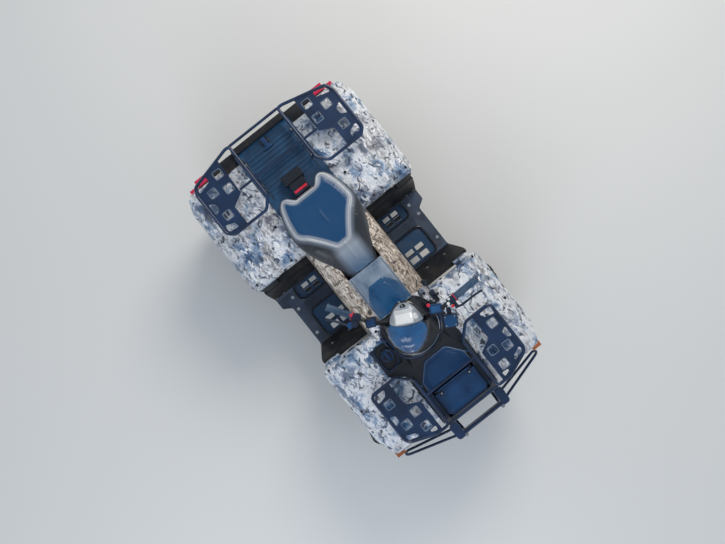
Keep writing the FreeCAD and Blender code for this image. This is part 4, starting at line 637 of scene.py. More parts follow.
def smoothLine(points, steps):
    # Catmull-Rom curve through points, in plain lists
    line = []
    for index in range(len(points) - 1):
        before = points[max(index - 1, 0)]
        start, end = points[index], points[index + 1]
        after = points[min(index + 2, len(points) - 1)]
        for step in range(steps):
            t = step / steps
            line.append([0.5 * (2 * b + (c - a) * t + (2 * a - 5 * b + 4 * c - d) * t * t
                                + (3 * b - a - 3 * c + d) * t ** 3)
                         for a, b, c, d in zip(before, start, end, after)])
    line.append(list(points[-1]))
    return line


def tyreSection(size):
    # Half section from the middle of the tread to the bead, as (across, radius)
    half, top = size["width"] / 2, size["radius"] - size["lug"]
    return smoothLine([
        (0, top), (half - 62, top - 1), (half - 40, top - 7), (half - 20, top - 22), (half - 6, top - 46),
        (half - 1, top - 74), (half - 3, top - 104), (half - 9, top - 124), (half - 14, top - 136),
        (half - 20, rimRadius + 4), (half - 24, rimRadius + 0.5)], 4)


def spinSection(name, section, segments, closed=False):
    # Section as (across, radius) turned about Y
    points, faces = [], []
    for turn in range(segments):
        angle = 2 * math.pi * turn / segments
        points += [(r * math.sin(angle) / 1000, y / 1000, r * math.cos(angle) / 1000) for y, r in section]
    count = len(section)
    for turn in range(segments):
        here, there = turn * count, (turn + 1) % segments * count
        for index in range(count if closed else count - 1):
            after = (index + 1) % count
            faces.append((here + index, there + index, there + after, here + after))
    return tidyMesh(shapeMesh(name, points, faces))


def lugMesh(size):
    # One pitch of the tread: a swept bar on each side that runs over the shoulder, and a short block between
    half, lug = size["width"] / 2, size["lug"]
    section = tyreSection(size)
    pitch = 360 / size["pitches"]
    bars = [
        # start across, end across, width, shift in pitches, side
        (6, half + 4, size["lugWidth"], 0.0, 1), (6, half + 4, size["lugWidth"], 0.5, -1),
        (half * lugShape["short"], half + 4, size["lugWidth"] * 0.7, 0.5, 1),
        (half * lugShape["short"], half + 4, size["lugWidth"] * 0.7, 0.0, -1),
    ]
    points, faces = [], []
    stations = lugShape["stations"]
    for start, end, width, shift, side in bars:
        base = len(points)
        for step in range(stations):
            share = step / (stations - 1)
            # Walk along the section by its own length, from the middle over the shoulder
            reach = start + (end + lugShape["pastShoulder"] - start) * share
            walked, index = 0.0, 0
            while index < len(section) - 2:
                run = math.dist(section[index], section[index + 1])
                if walked + run >= reach:
                    break
                walked += run
                index += 1
            (y0, r0), (y1, r1) = section[index], section[index + 1]
            part = min(1, (reach - walked) / max(math.dist(section[index], section[index + 1]), 1e-6))
            y, r = y0 + (y1 - y0) * part, r0 + (r1 - r0) * part
            length = math.dist((y0, r0), (y1, r1))
            normal = (-(r1 - r0) / length, (y1 - y0) / length)
            tapered = max(0, share - lugShape["taperFrom"]) / lugShape["taperLength"]
            rise = lug * (1 - lugShape["taper"] * tapered)
            rise = min(rise, size["radius"] - r if normal[1] > 0.5 else rise)
            sweep = size["sweep"] * share ** lugShape["sweepPower"]
            middle = math.radians(shift * pitch + sweep)
            for lift, spread in ((lugShape["sunk"], lugShape["footShare"]), (rise, lugShape["crestShare"])):
                outY, outR = y + normal[0] * lift, r + normal[1] * lift
                outY = min(outY, half - 0.2)
                for way in (-1, 1):
                    angle = middle + way * width * spread / 2 / outR
                    points.append((outR * math.sin(angle) / 1000, side * outY / 1000,
                                   outR * math.cos(angle) / 1000))
        for step in range(stations - 1):
            a, b = base + step * 4, base + step * 4 + 4
            faces += [(a + 2, a + 3, b + 3, b + 2), (a, a + 2, b + 2, b), (a + 3, a + 1, b + 1, b + 3),
                      (a + 1, a, b, b + 1)]
        end = base + (stations - 1) * 4
        faces += [(base, base + 1, base + 3, base + 2), (end, end + 2, end + 3, end + 1)]
    return tidyMesh(shapeMesh("lug_pitch", points, faces))


def makeTyre(corner):
    place, wheelBody = corners[corner][:2]
    end = corner.split("_")[0]
    size = tyreSizes[end]
    half = tyreSection(size)
    sidewall = [(y + (1.6 if index in (22, 25, 31) else 0), r) for index, (y, r) in enumerate(half)]
    section = [(-y, r) for y, r in reversed(sidewall[1:])] + sidewall
    inner = [(section[-1][0] - 8, rimRadius + 0.5), (section[-1][0] - 10, rimRadius + 20),
             (-section[-1][0] + 10, rimRadius + 20), (-section[-1][0] + 8, rimRadius + 0.5)]
    casing = spinSection("casing", section + inner, 120, closed=True)
    shape = bpy.data.objects.new("lug_shape", lugMesh(size))
    scene.collection.objects.link(shape)
    tyre = grow("tyre_" + corner, pitchRing, casing, {"Pitch Count": size["pitches"], "Shape": shape},
                "tyre", wheelBody, place, 40)
    bpy.data.objects.remove(shape)
    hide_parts("%s_tyre_%s" % tuple(corner.split("_")))


for corner in corners:
    makeTyre(corner)
print("tyres made")


# Seat: foam shaped by its outline, puffed by a short cloth run, with a sewn top panel
seat = {
    "base": 776, "fill": 0.9, "voxel": 0.006, "swell": 0.006, "seamDepth": 0.0035, "seamWidth": 0.004,
    "stitch": 0.0075,
    # half outline from the nose to the notch at the back, as (x, y)
    "outline": [(10, 0), (10, 78), (-30, 85), (-67, 88), (-84, 99), (-144, 126), (-250, 173), (-330, 202),
                (-385, 216), (-443, 219), (-531, 205), (-600, 181), (-636, 156), (-650, 131), (-645, 108),
                (-628, 92), (-614, 78), (-612, 52), (-612, 24), (-612, 0)],
    "front": -67,
    # the line that the rings shrink towards: its rear and front ends, and how it stretches about its middle
    "core": (-520, -110), "coreMiddle": -440, "coreStretch": 40 / 200,
    # x where the broad back goes over into the narrow nose, for the profile and for the crown
    "noseProfile": (-400, -200), "noseCrown": (-300, -140), "noseDrop": 26, "backRise": 5,
    # half outline of the flat top panel inside it
    "panel": [(-252, 0), (-253, 24), (-262, 44), (-321, 87), (-380, 135), (-416, 172), (-443, 186),
              (-480, 184), (-531, 176), (-600, 156), (-628, 138), (-631, 116), (-604, 94), (-592, 70),
              (-590, 34), (-590, 0)],
    # height along the middle, as (x, z)
    "spine": [(-670, 868), (-600, 866), (-520, 861), (-430, 862), (-330, 866), (-250, 862), (-160, 862),
              (-67, 868)],
}


def between(table, x):
    rows = sorted(table)
    for (x0, z0), (x1, z1) in zip(rows, rows[1:]):
        if x <= x1 or (x1, z1) == rows[-1]:
            share = shareOf(x, (x0, x1))
            return z0 + (z1 - z0) * share * share * (3 - 2 * share)


def shareOf(x, ends):
    return min(1, max(0, (x - ends[0]) / (ends[1] - ends[0])))


def wholeOutline(half, steps):
    line = smoothLine([list(point) for point in half], steps)
    return line + [[x, -y] for x, y in reversed(line[1:-1])]


def makeCushion():
    outline = wholeOutline(seat["outline"], 4)
    # Profile from the underside over the skirt to the middle: distance in from the edge, then the share of
    # the height for the broad back and for the narrow nose
    profile = [(10, 0.0, 0.0), (3, 0.02, 0.02), (0, 0.10, 0.10), (0, 0.42, 0.36), (3, 0.64, 0.56),
               (10, 0.81, 0.72), (20, 0.915, 0.84), (34, 0.975, 0.925), (52, 1.0, 0.975), (84, 1.0, 1.0),
               (120, 1.0, 1.0), (170, 1.0, 1.0), (230, 1.0, 1.0)]
    points = []
    coreRear, coreFront = seat["core"]
    for inward, broadShare, noseShare in profile:
        for x, y in outline:
            spine = min(coreFront, max(coreRear, x + seat["coreStretch"] * (x - seat["coreMiddle"])))
            reach = math.hypot(x - spine, y)
            slide = min(inward / reach, 0.98)
            px, py = x + (spine - x) * slide, y - y * slide
            # The nose falls away to the tank, and the narrow part is rounder than the back
            crown = between(seat["spine"], px)
            forward = shareOf(px, seat["noseProfile"])
            share = broadShare + (noseShare - broadShare) * forward
            rise = seat["base"] + (crown - seat["base"]) * share
            if share > 0.5:
                narrow = shareOf(px, seat["noseCrown"])
                rise -= narrow * seat["noseDrop"] * (abs(py) / 100) ** 2 * (1 if inward > 20 else 0.7)
                if inward > 40:
                    rise += seat["backRise"] * min(1, abs(py) / 150) ** 2 * (1 - narrow)
            points.append((px / 1000, py / 1000, rise / 1000))
    count = len(outline)
    faces = ringFaces(count, len(profile))
    faces.append(tuple(reversed(range(count))))
    last = (len(profile) - 1) * count
    middle = len(points)
    points.append((-0.44, 0, points[last][2]))
    for index in range(count):
        faces.append((last + index, last + (index + 1) % count, middle))
    whole = tidyMesh(shapeMesh("seat_cushion", points, faces), 0.0004)
    work = bmesh.new()
    work.from_mesh(whole)
    cut = bmesh.ops.bisect_plane(work, geom=work.verts[:] + work.edges[:] + work.faces[:],
                                 plane_co=(seat["front"] / 1000, 0, 0), plane_no=(1, 0, 0), clear_outer=True)
    rim = [item for item in cut["geom_cut"] if isinstance(item, bmesh.types.BMEdge)]
    bmesh.ops.holes_fill(work, edges=rim, sides=0)
    bmesh.ops.recalc_face_normals(work, faces=work.faces)
    work.to_mesh(whole)
    work.free()
    return whole


def puff(piece):
    remesh = piece.modifiers.new("even_grid", "REMESH")
    remesh.mode = "VOXEL"
    remesh.voxel_size = seat["voxel"]
    bpy.context.view_layer.update()
    even = builtMesh(piece)
    piece.modifiers.remove(remesh)
    piece.data = even
    start = [vertex.co.copy() for vertex in even.vertices]
    held = piece.vertex_groups.new(name="held")
    held.add([vertex.index for vertex in even.vertices if vertex.co.z < 0.792], 1.0, "REPLACE")
    cloth = piece.modifiers.new("foam", "CLOTH")
    cloth.settings.use_pressure = True
    cloth.settings.uniform_pressure_force = 3.0
    cloth.settings.effector_weights.gravity = 0
    cloth.settings.vertex_group_mass = "held"
    cloth.settings.quality = 4
    for number in range(1, 13):
        scene.frame_set(number)
    blown = builtMesh(piece)
    piece.modifiers.remove(cloth)
    for vertex, old in zip(blown.vertices, start):
        move = vertex.co - old
        if move.length > seat["swell"]:
            vertex.co = old + move.normalized() * seat["swell"]
    piece.data = blown
    scene.frame_set(1)


def seamTree():
    # Short thread stitches along a seam, standing just proud of the cover
    tree, given = newTree("seam_stitches", [("Spacing", "Float", 0.0075), ("Thread Radius", "Float", 0.0008),
                                            ("Stitch Length", "Float", 0.005)])
    curve = addNode(tree, "GeometryNodeMeshToCurve", {}, {"Mesh": given["Geometry"]})
    even = addNode(tree, "GeometryNodeResampleCurve", {"mode": "LENGTH"},
                   {"Curve": curve.outputs[0], "Length": given["Spacing"]})
    tangent = addNode(tree, "GeometryNodeInputTangent")
    turn = addNode(tree, "FunctionNodeAlignRotationToVector", {"axis": "Z"}, {"Vector": tangent.outputs[0]})
    thread = addNode(tree, "GeometryNodeMeshCylinder", {"Vertices": 6},
                     {"Radius": given["Thread Radius"], "Depth": given["Stitch Length"]})
    spread = addNode(tree, "GeometryNodeInstanceOnPoints", {},
                     {"Points": even.outputs[0], "Instance": thread.outputs["Mesh"],
                      "Rotation": turn.outputs[0]})
    return endTree(tree, given, spread.outputs[0])


stitches = seamTree()


def onSurface(mesh, line, lift):
    # The points of a line dropped onto a mesh from above
    tree = BVHTree.FromPolygons([vertex.co for vertex in mesh.vertices],
                                [list(face.vertices) for face in mesh.polygons])
    dropped = []
    for x, y in line:
        hit, normal = tree.ray_cast(Vector((x, y, 1.5)), Vector((0, 0, -1)))[:2]
        if hit:
            dropped.append(hit + normal * lift)
    return dropped


def lineMesh(name, points, closed):
    mesh = bpy.data.meshes.new(name)
    count = len(points)
    edges = [(index, (index + 1) % count) for index in range(count if closed else count - 1)]
    mesh.from_pydata([tuple(point) for point in points], edges, [])
    return mesh


def fromLine(spots, line):
    # Distance of each spot to a closed line of points, negative inside it
    gaps = numpy.full(len(spots), 9.0)
    inside = numpy.zeros(len(spots), bool)
    for (x0, y0), (x1, y1) in zip(line, line[1:] + line[:1]):
        across = numpy.array((x1 - x0, y1 - y0))
        away = spots - numpy.array((x0, y0))
        share = numpy.clip(away @ across / max(across @ across, 1e-12), 0, 1)
        gaps = numpy.minimum(gaps, numpy.linalg.norm(away - share[:, None] * across, axis=1))
        if y0 != y1:
            crossing = (y0 > spots[:, 1]) != (y1 > spots[:, 1])
            inside ^= crossing & (spots[:, 0] < x0 + (spots[:, 1] - y0) * (x1 - x0) / (y1 - y0))
    return numpy.where(inside, -gaps, gaps)


def sewSeam(mesh, panel):
    # A groove where the top panel is sewn in, and the distance to it for the finish
    count = len(mesh.vertices)
    places, ways = numpy.empty(count * 3), numpy.empty(count * 3)
    mesh.vertices.foreach_get("co", places)
    mesh.vertices.foreach_get("normal", ways)
    places, ways = places.reshape(-1, 3), ways.reshape(-1, 3)
    gap = fromLine(places[:, :2], panel)
    upper = places[:, 2] > 0.82
    groove = seat["seamDepth"] * numpy.exp(-(gap / seat["seamWidth"]) ** 2) * upper
    places = places - ways * groove[:, None]
    mesh.vertices.foreach_set("co", places.ravel())
    # Stored for the finish, which paints a highlight and shade by it: 0.5 on the seam, 0 and 1 at 80 mm
    # inside and outside it
    away = mesh.attributes.new("seam_gap", "FLOAT", "POINT")
    away.data.foreach_set("value", numpy.clip(0.5 + gap / 0.16, 0, 1))


def makeSeat():
    cushion = bpy.data.objects.new("seat_cushion", makeCushion())
    scene.collection.objects.link(cushion)
    puff(cushion)
    finer = cushion.modifiers.new("finer", "SUBSURF")
    finer.levels = finer.render_levels = 1
    bpy.context.view_layer.update()
    smooth = builtMesh(cushion)
    bpy.data.objects.remove(cushion)
    piece = addPiece("seat_cushion", smooth, "seat", "chassis", 0)
    piece.data.shade_smooth()
    panel = [(x / 1000, y / 1000) for x, y in wholeOutline(seat["panel"], 5)]
    sewSeam(piece.data, panel)
    middle = Vector((-0.44, 0))
    for name, grown in (("seat_stitches_inner", -0.006), ("seat_stitches_outer", 0.006)):
        line = []
        for x, y in panel:
            away = (Vector((x, y)) - middle)
            line.append(Vector((x, y)) + away.normalized() * grown)
        line = [point for point in line if point.x < seat["front"] / 1000 - 0.003]
        run = onSurface(piece.data, [tuple(point) for point in line], 0.0002)
        grow(name, stitches, lineMesh(name, run, False), {
            "Spacing": seat["stitch"], "Thread Radius": 0.0006, "Stitch Length": 0.0052}, "thread", "chassis")
    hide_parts("seat")


makeSeat()
print("seat made")


# Tools for trims and panels that lie on the bodywork, in millimetres
def rounded(rows, steps=5):
    # A closed outline from (x, y, corner) rows, with each corner drawn as a curve
    line = []
    for index, (x, y, corner) in enumerate(rows):
        here = Vector((x, y))
        back = Vector(rows[index - 1][:2]) - here
        ahead = Vector(rows[(index + 1) % len(rows)][:2]) - here
        reach = min(corner, 0.45 * back.length, 0.45 * ahead.length)
        start, end = here + back.normalized() * reach, here + ahead.normalized() * reach
        for step in range(steps + 1 if corner else 1):
            t = step / steps if corner else 0.5
            spot = start * (1 - t) ** 2 + here * 2 * t * (1 - t) + end * t * t
            line.append((spot.x, spot.y))
    return line


def evenly(line, step):
    # The same closed line with points no further apart than step
    points = []
    for (x0, y0), (x1, y1) in zip(line, line[1:] + line[:1]):
        count = max(1, round(math.hypot(x1 - x0, y1 - y0) / step))
        points += [(x0 + (x1 - x0) * k / count, y0 + (y1 - y0) * k / count) for k in range(count)]
    return points


def surfaceOf(*sources):
    # What lies under a point: the faces of CAD nodes or meshes, in metres, hit from above
    points, faces = [], []
    for source in sources:
        mesh = nodes[source].data if isinstance(source, str) else source
        base = len(points)
        points += [vertex.co.copy() for vertex in mesh.vertices]
        faces += [[base + index for index in face.vertices] for face in mesh.polygons]
    return BVHTree.FromPolygons(points, faces)


def drop(under, x, y, lift=0.0):
    hit, normal = under.ray_cast(Vector((x / 1000, y / 1000, 1.6)), Vector((0, 0, -1)))[:2]
    if not hit:
        return None
    if normal.z < 0:
        normal = -normal
    return hit * 1000 + normal * lift, normal


def skin(name, outline, under, lift, finish, body, edge=1.6, step=7, rings=9, centre=None, place=None):
    # A thin panel laid on a surface: its rim is rounded and goes into the surface
    line = evenly(outline, step)
    middle = Vector(centre or (sum(p[0] for p in line) / len(line), sum(p[1] for p in line) / len(line)))
    rows = [(0.0, -1.0), (0.0, lift - edge), (edge * 0.4, lift - edge * 0.35), (edge, lift)]
    rows += [(share, lift) for share in range(1, rings)]
    points = []
    last = None
    for index, (inward, rise) in enumerate(rows):
        for x, y in line:
            away = middle - Vector((x, y))
            if index < 4:
                spot = Vector((x, y)) + away.normalized() * inward
            else:
                start = Vector((x, y)) + away.normalized() * edge
                spot = start + (middle - start) * (inward / rings)
            found = drop(under, spot.x, spot.y)
            height = found[0].z if found else last
            last = height
            points.append((spot.x / 1000, spot.y / 1000, (height + rise) / 1000))
    count = len(line)
    faces = ringFaces(count, len(rows))
    top = drop(under, middle.x, middle.y)
    points.append((middle.x / 1000, middle.y / 1000, ((top[0].z if top else last) + lift) / 1000))
    base = (len(rows) - 1) * count
    faces += [(base + index, base + (index + 1) % count, len(points) - 1) for index in range(count)]
    faces.append(tuple(reversed(range(count))))
    return addPiece(name, tidyMesh(shapeMesh(name, points, faces)), finish, body, 35, place)


def slabMesh(name, outline, low, high, bevel=1.5):
    # A flat form from its outline, with the edges of both faces rounded
    work = bmesh.new()
    floor = work.faces.new([work.verts.new((x / 1000, y / 1000, low / 1000)) for x, y in outline])
    raised = bmesh.ops.extrude_face_region(work, geom=[floor])["geom"]
    bmesh.ops.translate(work, verts=[item for item in raised if isinstance(item, bmesh.types.BMVert)],
                        vec=(0, 0, (high - low) / 1000))
    bmesh.ops.recalc_face_normals(work, faces=work.faces)
    rim = [edge for edge in work.edges if abs(edge.verts[0].co.z - edge.verts[1].co.z) < 1e-7]
    bmesh.ops.bevel(work, geom=rim, offset=bevel / 1000, segments=3, profile=0.6, affect="EDGES")
    mesh = bpy.data.meshes.new(name)
    work.to_mesh(mesh)
    work.free()
    return mesh


def slab(name, outline, low, high, finish, body, bevel=1.5, place=None):
    return addPiece(name, slabMesh(name, outline, low, high, bevel), finish, body, 35, place)


def block(x, y, corner=3):
    # The outline of a box with rounded corners, from its low and high ends
    (x0, x1), (y0, y1) = x, y
    return rounded([(x0, y0, corner), (x1, y0, corner), (x1, y1, corner), (x0, y1, corner)], 4)


def sweepMesh(name, points, radius, closed=False, order=4, sides=3):
    curve = bpy.data.curves.new(name, "CURVE")
    curve.dimensions = "3D"
    curve.bevel_depth = radius / 1000
    curve.bevel_resolution = sides
    curve.use_fill_caps = True
    line = curve.splines.new("NURBS")
    line.points.add(len(points) - 1)
    for spot, point in zip(line.points, points):
        spot.co = (point[0] / 1000, point[1] / 1000, point[2] / 1000, 1)
    line.order_u = min(order, len(points))
    line.use_endpoint_u = not closed
    line.use_cyclic_u = closed
    line.resolution_u = 5
    holder = bpy.data.objects.new(name, curve)
    scene.collection.objects.link(holder)
    bpy.context.view_layer.update()
    made = builtMesh(holder)
    bpy.data.objects.remove(holder)
    return tidyMesh(made)


def sweep(name, routes, radius, finish, body, place=None, closed=False, order=4, sides=3):
    # Round bars or beads along one or more routes, kept as one piece
    whole = joinMeshes(name, [sweepMesh(name, route, radius, closed, order, sides) for route in routes])
    return addPiece(name, whole, finish, body, 50, place)


def ribTree():
    # Straight ribs of one size at even steps
    tree, given = newTree("rib_row", [("Count", "Int", 10), ("Start", "Vector", (0, 0, 0)),
                                      ("Step", "Vector", (0.01, 0, 0)),
                                      ("Size", "Vector", (0.004, 0.1, 0.004))])
    line = addNode(tree, "GeometryNodeMeshLine", {},
                   {"Count": given["Count"], "Start Location": given["Start"], "Offset": given["Step"]})
    rib = addNode(tree, "GeometryNodeMeshCube", {}, {"Size": given["Size"]})
    spread = addNode(tree, "GeometryNodeInstanceOnPoints", {},
                     {"Points": line.outputs[0], "Instance": rib.outputs["Mesh"]})
    return endTree(tree, given, spread.outputs[0])


ribRow = ribTree()


def ribs(name, rows, finish, body, soften=0.8, place=None):
    # Each row is (count, first rib's middle, step, size); the edges are softened after the tree has run
    meshes = []
    for count, start, step, ribSize in rows:
        values = {"Count": count}
        for label, triple in (("Start", start), ("Step", step), ("Size", ribSize)):
            values[label] = [value / 1000 for value in triple]
        row = grow(name, ribRow, bpy.data.meshes.new("empty"), values, finish, body, None, 0)
        meshes.append(row.data)
        bpy.data.objects.remove(row)
    work = bmesh.new()
    for mesh in meshes:
        work.from_mesh(mesh)
    bmesh.ops.bevel(work, geom=work.edges[:], offset=soften / 1000, segments=1, affect="EDGES")
    whole = bpy.data.meshes.new(name)
    work.to_mesh(whole)
    work.free()
    return addPiece(name, whole, finish, body, 40, place)


# Bodywork: tank cover, console, lid, fenders, deck and footwells
bodywork = {
    "tankInset": [(30, -50, 10), (30, 50, 10), (104, 103, 16), (212, 110, 5), (212, -110, 5),
                  (104, -103, 16)],
    "tankFold": [(56, -36, 10), (56, 36, 10), (112, 76, 14), (208, 84, 4), (208, -84, 4), (112, -76, 14)],
    "step": [(548, -66, 12), (548, 80, 12), (634, 148, 14), (700, 150, 6), (700, -150, 6), (634, -146, 14)],
    "stepFace": [(574, -58, 10), (574, 66, 10), (640, 122, 12), (696, 126, 6), (696, -126, 6),
                 (640, -120, 12)],
    # line of the collar in front of the pod, as (x, y)
    "collar": [(345 + 174 * math.cos(turn * math.pi / 12),
                174 * math.sin(turn * math.pi / 12)) for turn in range(-7, 8)],
    "lidPanel": block((748, 872), (-116, 116), 14),
    "frontPins": [(250, 300), (262, 520), (470, 232), (560, 520), (700, 548), (878, 300), (300, 232)],
    "rearPins": [(-360, 300), (-372, 540), (-560, 250), (-700, 566), (-860, 566), (-1000, 300)],
    "floorBolts": [(-202, 459), (-256, 537), (-256, 482), (165, 300), (165, 430), (60, 474), (-124, 474)],
    "tankSeam": [(-58, 104), (0, 106), (60, 107), (120, 107), (180, 107), (208, 107)],
    "stepEdge": [(690, 148), (640, 146), (552, 78), (552, -62), (640, -144), (690, -148)],
    "stepRidge": [(588, 84), (612, 118), (640, 150), (672, 176)],
    "capPlace": (398, -207, 817.3), "capRim": 33, "pocket": ((-80, 80), (-60, 58), 22), "pocketTop": 821.2,
    "lidRim": block((735, 881), (-130, 130), 16), "lidTop": 822.2,
    "lidHandle": [(806, -34.1), (838, -31.9), (846, -16.5), (846, 0), (846, 16.5), (838, 31.9), (806, 34.1)],
    "latch": [(-998, -12, 4), (-998, 12, 4), (-944, 12, 4), (-944, 30, 4), (-930, 30, 4), (-930, -30, 4),
              (-944, -30, 4), (-944, -12, 4)],
    # rear block, in rows of name, x, y, corner, low, high, finish, bevel
    "rearBlock": [("top", (-742, -692), (-60, 60), 12, 856, 863, "blackGloss", 3),
                  ("pad", (-688, -650), (-46, 46), 8, 845, 850, "blackGloss", 2),
                  ("bar", (-642, -628), (-44, 40), 3, 845, 848.5, "redBar", 1)],
    # floor recesses, as low x, high x, near y, far y, corner
    "recesses": [(-72, 124, 238, 434, 40), (-252, -146, 244, 430, 38)], "floorTop": 380.6,
    "teethRows": (-126, -112, -98, -84), "teethStarts": (254, -422),
    # ribs, in rows of count, first rib's middle, step and size
    "fineRibs": (23, (-908, -132, 800.5), (0, 12, 0), (206, 2.6, 3.0)),
    "padRibs": (7, (-722, -36, 863.4), (0, 12, 0), (26, 3.5, 1.6)),
    "latchPlate": block((-1006, -960), (-30, 30), 8), "deckSeam": (158, (-970, -900, -800, -680), 799),
    "consolePins": [(592, 172), (690, 172), (250, 172), (420, 172)],
}


def detailTank():
    tank = surfaceOf("tank_cover")
    skin("tank_inset", rounded(bodywork["tankInset"]), tank, 1.6, "tank", "chassis")
    skin("tank_fold", rounded(bodywork["tankFold"]), tank, 4.0, "tank", "chassis", edge=2.4)
    seams = []
    for sign in (1, -1):
        seams.append([drop(tank, x, sign * y, 0.2)[0] for x, y in bodywork["tankSeam"]])
    sweep("tank_seams", seams, 1.6, "guard", "chassis")


def detailConsole():
    console = surfaceOf("front_console", "fuel_cap")
    skin("console_step", rounded(bodywork["step"]), console, 4.5, "lid", "chassis", edge=3)
    skin("console_step_face", rounded(bodywork["stepFace"]), console, 7.5, "lid", "chassis", edge=3)
    # A pale line along the step's edge: a painted highlight
    edge = [drop(console, x, y, 5)[0] for x, y in bodywork["stepEdge"]]
    sweep("console_step_edge", [edge], 1.5, "silver", "chassis", order=2)
    collar = [drop(console, x, y, 3)[0] for x, y in bodywork["collar"]]
    sweep("console_collar", [collar], 12, "panel", "chassis", sides=5)
    # A pale line inside the collar: a painted highlight on its lit edge
    inner = [drop(console, 345 + (x - 345) * 0.92, y * 0.92, 3)[0] for x, y in bodywork["collar"][1:-1]]
    sweep("console_collar_lip", [inner], 2.4, "silver", "chassis")
    ridges = []
    for sign in (1, -1):
        ridges.append([drop(console, x, sign * y, 1.5)[0] for x, y in bodywork["stepRidge"]])
    sweep("console_ridges", ridges, 4, "lid", "chassis")
    pins = [drop(console, x, sign * y, 0.8) for x, y in bodywork["consolePins"] for sign in (1, -1)]
    boltRow("console_pins", pins, "blackGloss", "chassis", 4.5, 3, 16, 8)
    # Fuel cap: rim, grip bar and the ribs round it
    x, y, top = bodywork["capPlace"]
    rim = bodywork["capRim"]
    ringPoints = [(x + rim * math.cos(turn * math.pi / 4), y + rim * math.sin(turn * math.pi / 4), top)
                  for turn in range(8)]
    sweep("fuel_cap_rim", [ringPoints], 3.2, "lid", "chassis", closed=True)
    slab("fuel_cap_grip", block((x - 28, x + 28), (y - 8, y + 8), 6), top - 1, top + 9, "lid", "chassis", 3)
    pocketLine = [(x + a, y + b, bodywork["pocketTop"]) for a, b in block(*bodywork["pocket"])]
    sweep("fuel_pocket_lip", [pocketLine[::3]], 2.6, "lid", "chassis", closed=True)


def detailLid():
    lid = surfaceOf("front_lid")
    skin("lid_panel", bodywork["lidPanel"], lid, 2.6, "lid", "front_lid", edge=2.4)
    rim = [(x, y, bodywork["lidTop"]) for x, y in bodywork["lidRim"]]
    sweep("lid_rim", [rim[::2]], 2.4, "panel", "front_lid", closed=True)
    handle = [drop(lid, x, y, 3)[0] for x, y in bodywork["lidHandle"]]
    sweep("lid_handle_lip", [handle], 2.2, "lid", "front_lid")
    for name, sign in (("left", 1), ("right", -1)):
        low, high = sorted((sign * 86, sign * 110))
        slab("lid_strap_" + name, block((740, 762), (low, high), 3), 821, 826, "panel", "front_lid", 1.4)
    screws = [((751, sign * 98, 826), (0, 0, 1)) for sign in (1, -1)]
    boltRow("lid_screws", screws, "zinc", "front_lid", 3.6, 2.4, 16, 5.5)


def detailFenders():
    fenders = surfaceOf("front_fender_left", "front_fender_right", "rear_fender_left", "rear_fender_right")
    pins = [drop(fenders, x, sign * y, 0.6) for x, y in bodywork["frontPins"] + bodywork["rearPins"]
            for sign in (1, -1)]
    boltRow("fender_pins", [pin for pin in pins if pin], "blackGloss", "chassis", 4.5, 2.6, 16, 8.5)


def detailDeck():
    deck = surfaceOf("rear_deck")
    ribs("deck_fine_ribs", [bodywork["fineRibs"]], "deck", "chassis", 0.5)
    skin("deck_latch_plate", bodywork["latchPlate"], deck, 4.0, "panel", "chassis", edge=2)
    slab("deck_latch", rounded(bodywork["latch"]), 800, 810, "lid", "chassis", 2)
    side, stations, top = bodywork["deckSeam"]
    edges = [[(x, sign * side, top) for x in stations] for sign in (1, -1)]
    edges.append([(-862, y, 799.6) for y in (-152, -60, 60, 152)])
    sweep("deck_seams", edges, 2.2, "blackGloss", "chassis")
    # Block behind the seat: padded top, sides with grip ribs, and a plain red bar
    for name, x, y, corner, low, high, finish, bevel in bodywork["rearBlock"]:
        slab("rear_block_" + name, block(x, y, corner), low, high, finish, "chassis", bevel)
    ribs("rear_block_ribs", [bodywork["padRibs"]], "panel", "chassis", 0.4)


def detailFloors():
    floors = surfaceOf("footwell_left", "footwell_right")
    rows = []
    for x in bodywork["teethRows"]:
        rows += [(15, (x, first, 386.5), (0, 12, 0), (4.4, 5, 4)) for first in bodywork["teethStarts"]]
    ribs("floor_teeth", rows, "floor", "chassis", 0.6)
    spots = [drop(floors, x, sign * y, 0.8) for x, y in bodywork["floorBolts"] for sign in (1, -1)]
    boltRow("floor_bolts", [spot for spot in spots if spot], "zinc", "chassis", 6, 4.4, 6, 10)
    frames = []
    for sign in (1, -1):
        for low, high, near, far, corner in bodywork["recesses"]:
            line = rounded([(low, near, 8), (low, far, corner), (high, far, corner), (high, near, 8)], 4)
            frames.append([(x, sign * y, bodywork["floorTop"]) for x, y in line])
    sweep("floor_recess_lips", frames, 6.0, "blackGloss", "chassis", closed=True, order=3)


detailTank()
detailConsole()
detailLid()
detailFenders()
detailDeck()
detailFloors()
print("bodywork detailed")


